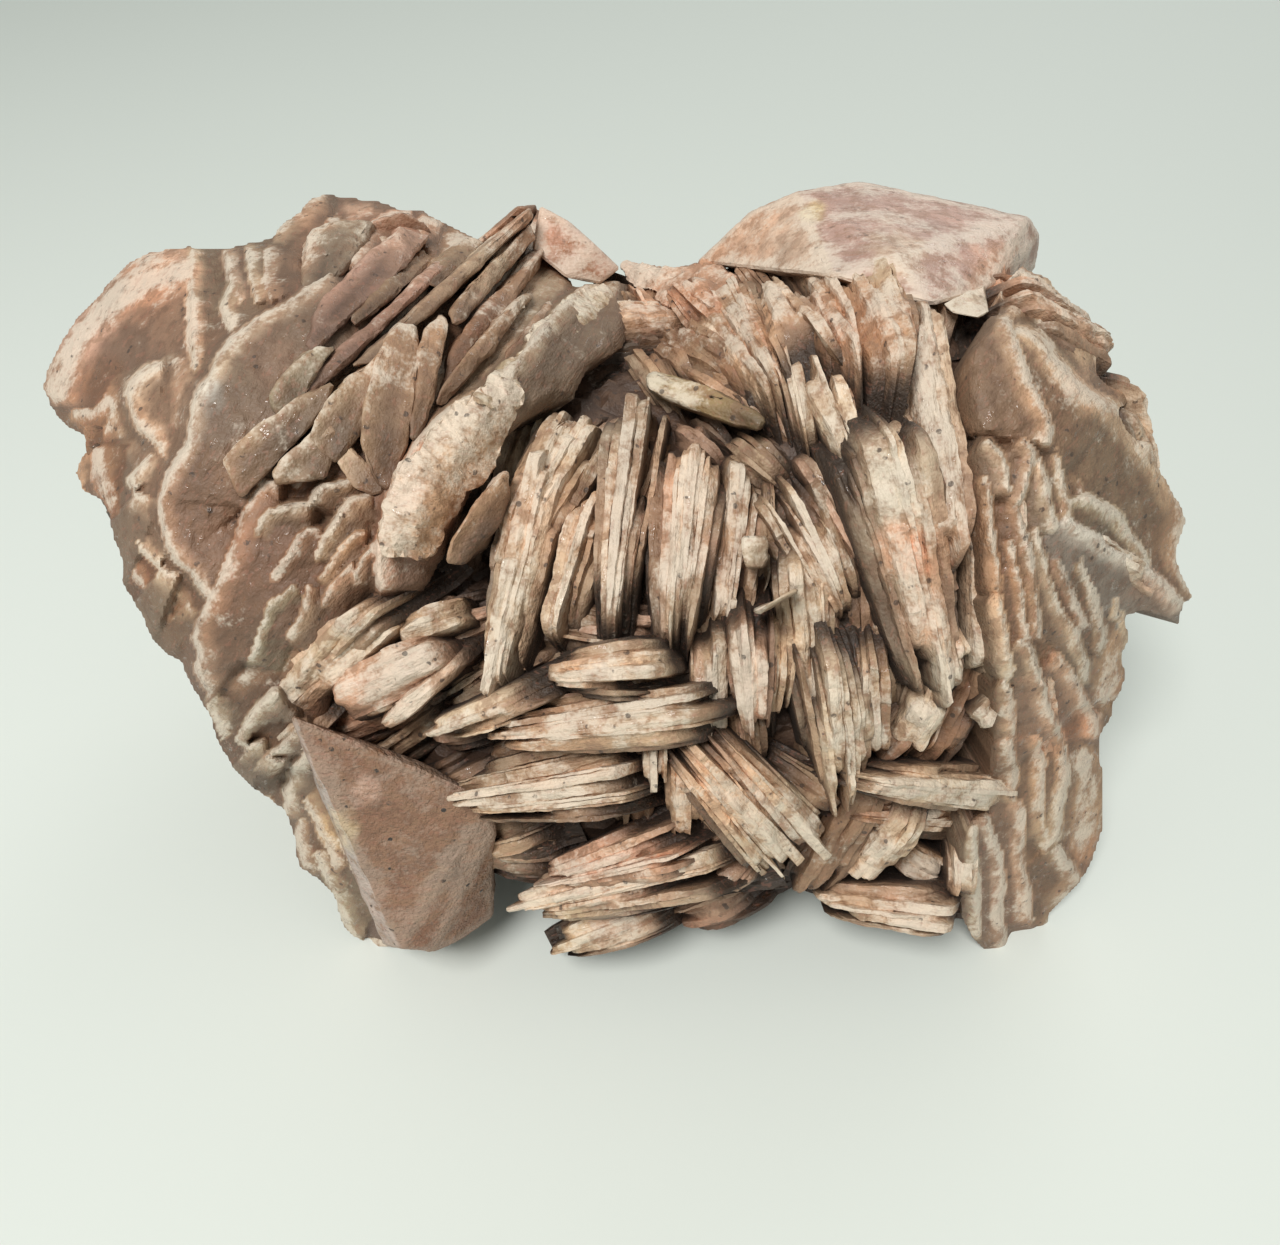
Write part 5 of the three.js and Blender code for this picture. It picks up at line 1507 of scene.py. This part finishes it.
def frosted_barite(name, frost=0.60, striation=0.14, specks=0.7, gloss=0.5, relief=0.6, weave=(0.3, 1.5, 2.1),
                   mottling=0.62):
    """Frosted to glassy barite: tinted by crystal, with pale frost and painted highlight at its rims and painted
    shade in its recesses.
    """
    finish = Finish(name)
    place = finish.node("ShaderNodeTexCoord").outputs["Object"]
    grain = finish.attribute("grain", "Vector")
    rim = Value(finish.tree, finish.attribute("rim"))
    tint = finish.attribute("tint", "Color")

    fibres = finish.noise(finish.stretch(grain, weave), 1.0, 3, 0.65)
    mottle = finish.noise(place, 560.0, 3, 0.66)
    grit = finish.noise(place, 2600.0, 1, 0.6)

    colour = finish.mix(finish.ramp(mottle, 0.48, 0.62) * mottling, tint, (0.30, 0.165, 0.095, 1))
    # Painted shade: darker brown in recesses and near black in the deepest, by how far a spot lies under the outer
    # surface.
    recess_shade = finish.ramp(1 - rim, 0.45, 0.98)
    colour = finish.mix(recess_shade * 0.85, colour, (0.085, 0.042, 0.022, 1))
    colour = finish.mix(finish.ramp(1 - rim, 0.76, 0.96) * 0.85, colour, (0.018, 0.010, 0.006, 1))
    # Pale frost near rims and crests: partly the stone's own crust, partly painted highlight.
    broad = finish.noise(place, 190.0, 1, 0.5)
    crust_and_highlight = finish.ramp(rim - mottle * 1.3 - fibres * 0.5 + grit * 0.5 - broad * 1.2 + 0.55, -0.30, 0.20)
    colour = finish.mix(crust_and_highlight * frost, colour, (0.84, 0.745, 0.62, 1))
    colour = finish.mix(finish.ramp(fibres, 0.52, 0.66) * striation, colour, (0.24, 0.135, 0.08, 1))
    flecks = finish.ramp(finish.noise(finish.stretch(grain, (0.5, 1.1, 1.3)), 1.6, 1, 0.6), 0.60, 0.68)
    colour = finish.mix(flecks * 0.2, colour, (0.42, 0.17, 0.11, 1))
    cells = finish.node("ShaderNodeTexVoronoi", {"feature": "F1"}, Vector=place, Scale=650.0)
    dots = finish.value(cells, "Distance").below(0.19) * finish.ramp(mottle, 0.50, 0.60)
    colour = finish.mix(dots * specks, colour, (0.040, 0.028, 0.022, 1))
    finish.give(finish.shader.inputs["Base Color"], colour)

    glint = finish.ramp(fibres, 0.60, 0.64)
    roughness = 0.78 - gloss * 0.5 + grit * 0.25 - glint * 0.42
    finish.give(finish.shader.inputs["Roughness"], roughness)
    finish.shader.inputs["IOR"].default_value = 1.64

    height = fibres * 0.8 + grit * 0.4
    bump = finish.node("ShaderNodeBump", Strength=relief, Distance=0.0006, Height=height)
    finish.give(finish.shader.inputs["Normal"], bump.outputs["Normal"])
    return finish.material


def floor_finish():
    """A plain pale table."""
    finish = Finish("pale_table")
    place = finish.node("ShaderNodeTexCoord").outputs["Object"]
    faint = finish.noise(place, 6.0, 2, 0.5)
    colour = finish.mix(faint * 0.06, (0.76, 0.80, 0.755, 1), (0.71, 0.75, 0.71, 1))
    finish.give(finish.shader.inputs["Base Color"], colour)
    finish.shader.inputs["Roughness"].default_value = 0.7
    return finish.material


def table_top():
    """The floor under the cluster."""
    bm = bmesh.new()
    bmesh.ops.create_grid(bm, x_segments=1, y_segments=1, size=2.5)
    mesh = bpy.data.meshes.new("table_top")
    bm.to_mesh(mesh)
    bm.free()
    thing = bpy.data.objects.new("table_top", mesh)
    bpy.context.scene.collection.objects.link(thing)
    mesh.materials.append(floor_finish())


def area_light(name, place, aim, size, power, colour):
    light = bpy.data.lights.new(name, "AREA")
    light.shape = "DISK"
    light.size = size
    light.energy = power
    light.color = colour
    thing = bpy.data.objects.new(name, light)
    thing.location = place
    thing.rotation_euler = (Vector(aim) - Vector(place)).to_track_quat("-Z", "Y").to_euler()
    bpy.context.scene.collection.objects.link(thing)


def studio():
    """Soft light from above and behind, a pale world, and the camera at the viewpoint."""
    area_light("overhead", (-0.15, -0.30, 0.58), (0, 0, 0.03), 0.22, 3.3, (1.0, 0.985, 0.96))
    area_light("back_fill", (0.30, 0.55, 0.50), (0, 0, 0.03), 0.5, 1.0, (1.0, 1.0, 1.0))
    world = bpy.data.worlds.new("pale_room")
    world.use_nodes = True
    background = world.node_tree.nodes["Background"]
    background.inputs["Color"].default_value = (0.93, 1.0, 0.95, 1)
    background.inputs["Strength"].default_value = 0.36
    scene = bpy.context.scene
    scene.world = world
    scene.view_settings.view_transform = "Standard"
    camera = bpy.data.cameras.new("viewpoint")
    camera.sensor_width = 36
    camera.lens = 36 * 1050 / 1280
    camera.clip_start = 0.01
    thing = bpy.data.objects.new("viewpoint", camera)
    thing.location = (VIEWPOINT - BOX_MIDDLE) * MM
    thing.rotation_euler = (math.pi / 2 - VIEW_DIP, 0, 0)
    scene.collection.objects.link(thing)
    scene.camera = thing


def build():
    frosted = frosted_barite("frosted_barite")
    granular = frosted_barite("granular_barite", frost=0.62, striation=0.25, weave=(0.5, 1.2, 1.5),
                              mottling=0.55, relief=0.55)
    grainy = frosted_barite("grainy_barite", frost=0.18, striation=0.2, weave=(1.1, 1.1, 1.1),
                            specks=1, mottling=0.8, relief=0.9)
    smooth = frosted_barite("smooth_barite", frost=0.55, striation=0.15, specks=0.35, gloss=0.8, relief=0.4,
                            weave=(0.3, 1.2, 2.6), mottling=0.45)
    for piece_name, rows in SHEAVES.items():
        piece = Piece(piece_name)
        for row in rows:
            seen_sheaf(piece, row)
        piece.finish(frosted)
    under = Piece("deep_blades")
    deep_blades(under)
    under.finish(frosted)
    for piece_name, area in OVERLAPPING.items():
        piece = Piece(piece_name)
        overlapping_plates(piece, *area)
        piece.finish(granular)
    for piece_name, rows in PLATES.items():
        piece = Piece(piece_name)
        for row in rows:
            maker = faceted_crystal if row[0] in FACETED or row[0].startswith("bar") else broad_crystal
            maker(piece, row)
        material = {"top_crystal": smooth, "rhombic_crystal": grainy, "broad_centre": granular}
        piece.finish(material.get(piece_name, granular))
    for piece_name, rows in FAR_SHEAVES.items():
        piece = Piece(piece_name)
        for row in rows:
            far_sheaf(piece, row)
        piece.finish(frosted)
    middle = Piece("dark_middle")
    core(middle)
    middle.finish(frosted)


build()
table_top()
studio()
bpy.context.view_layer.update()
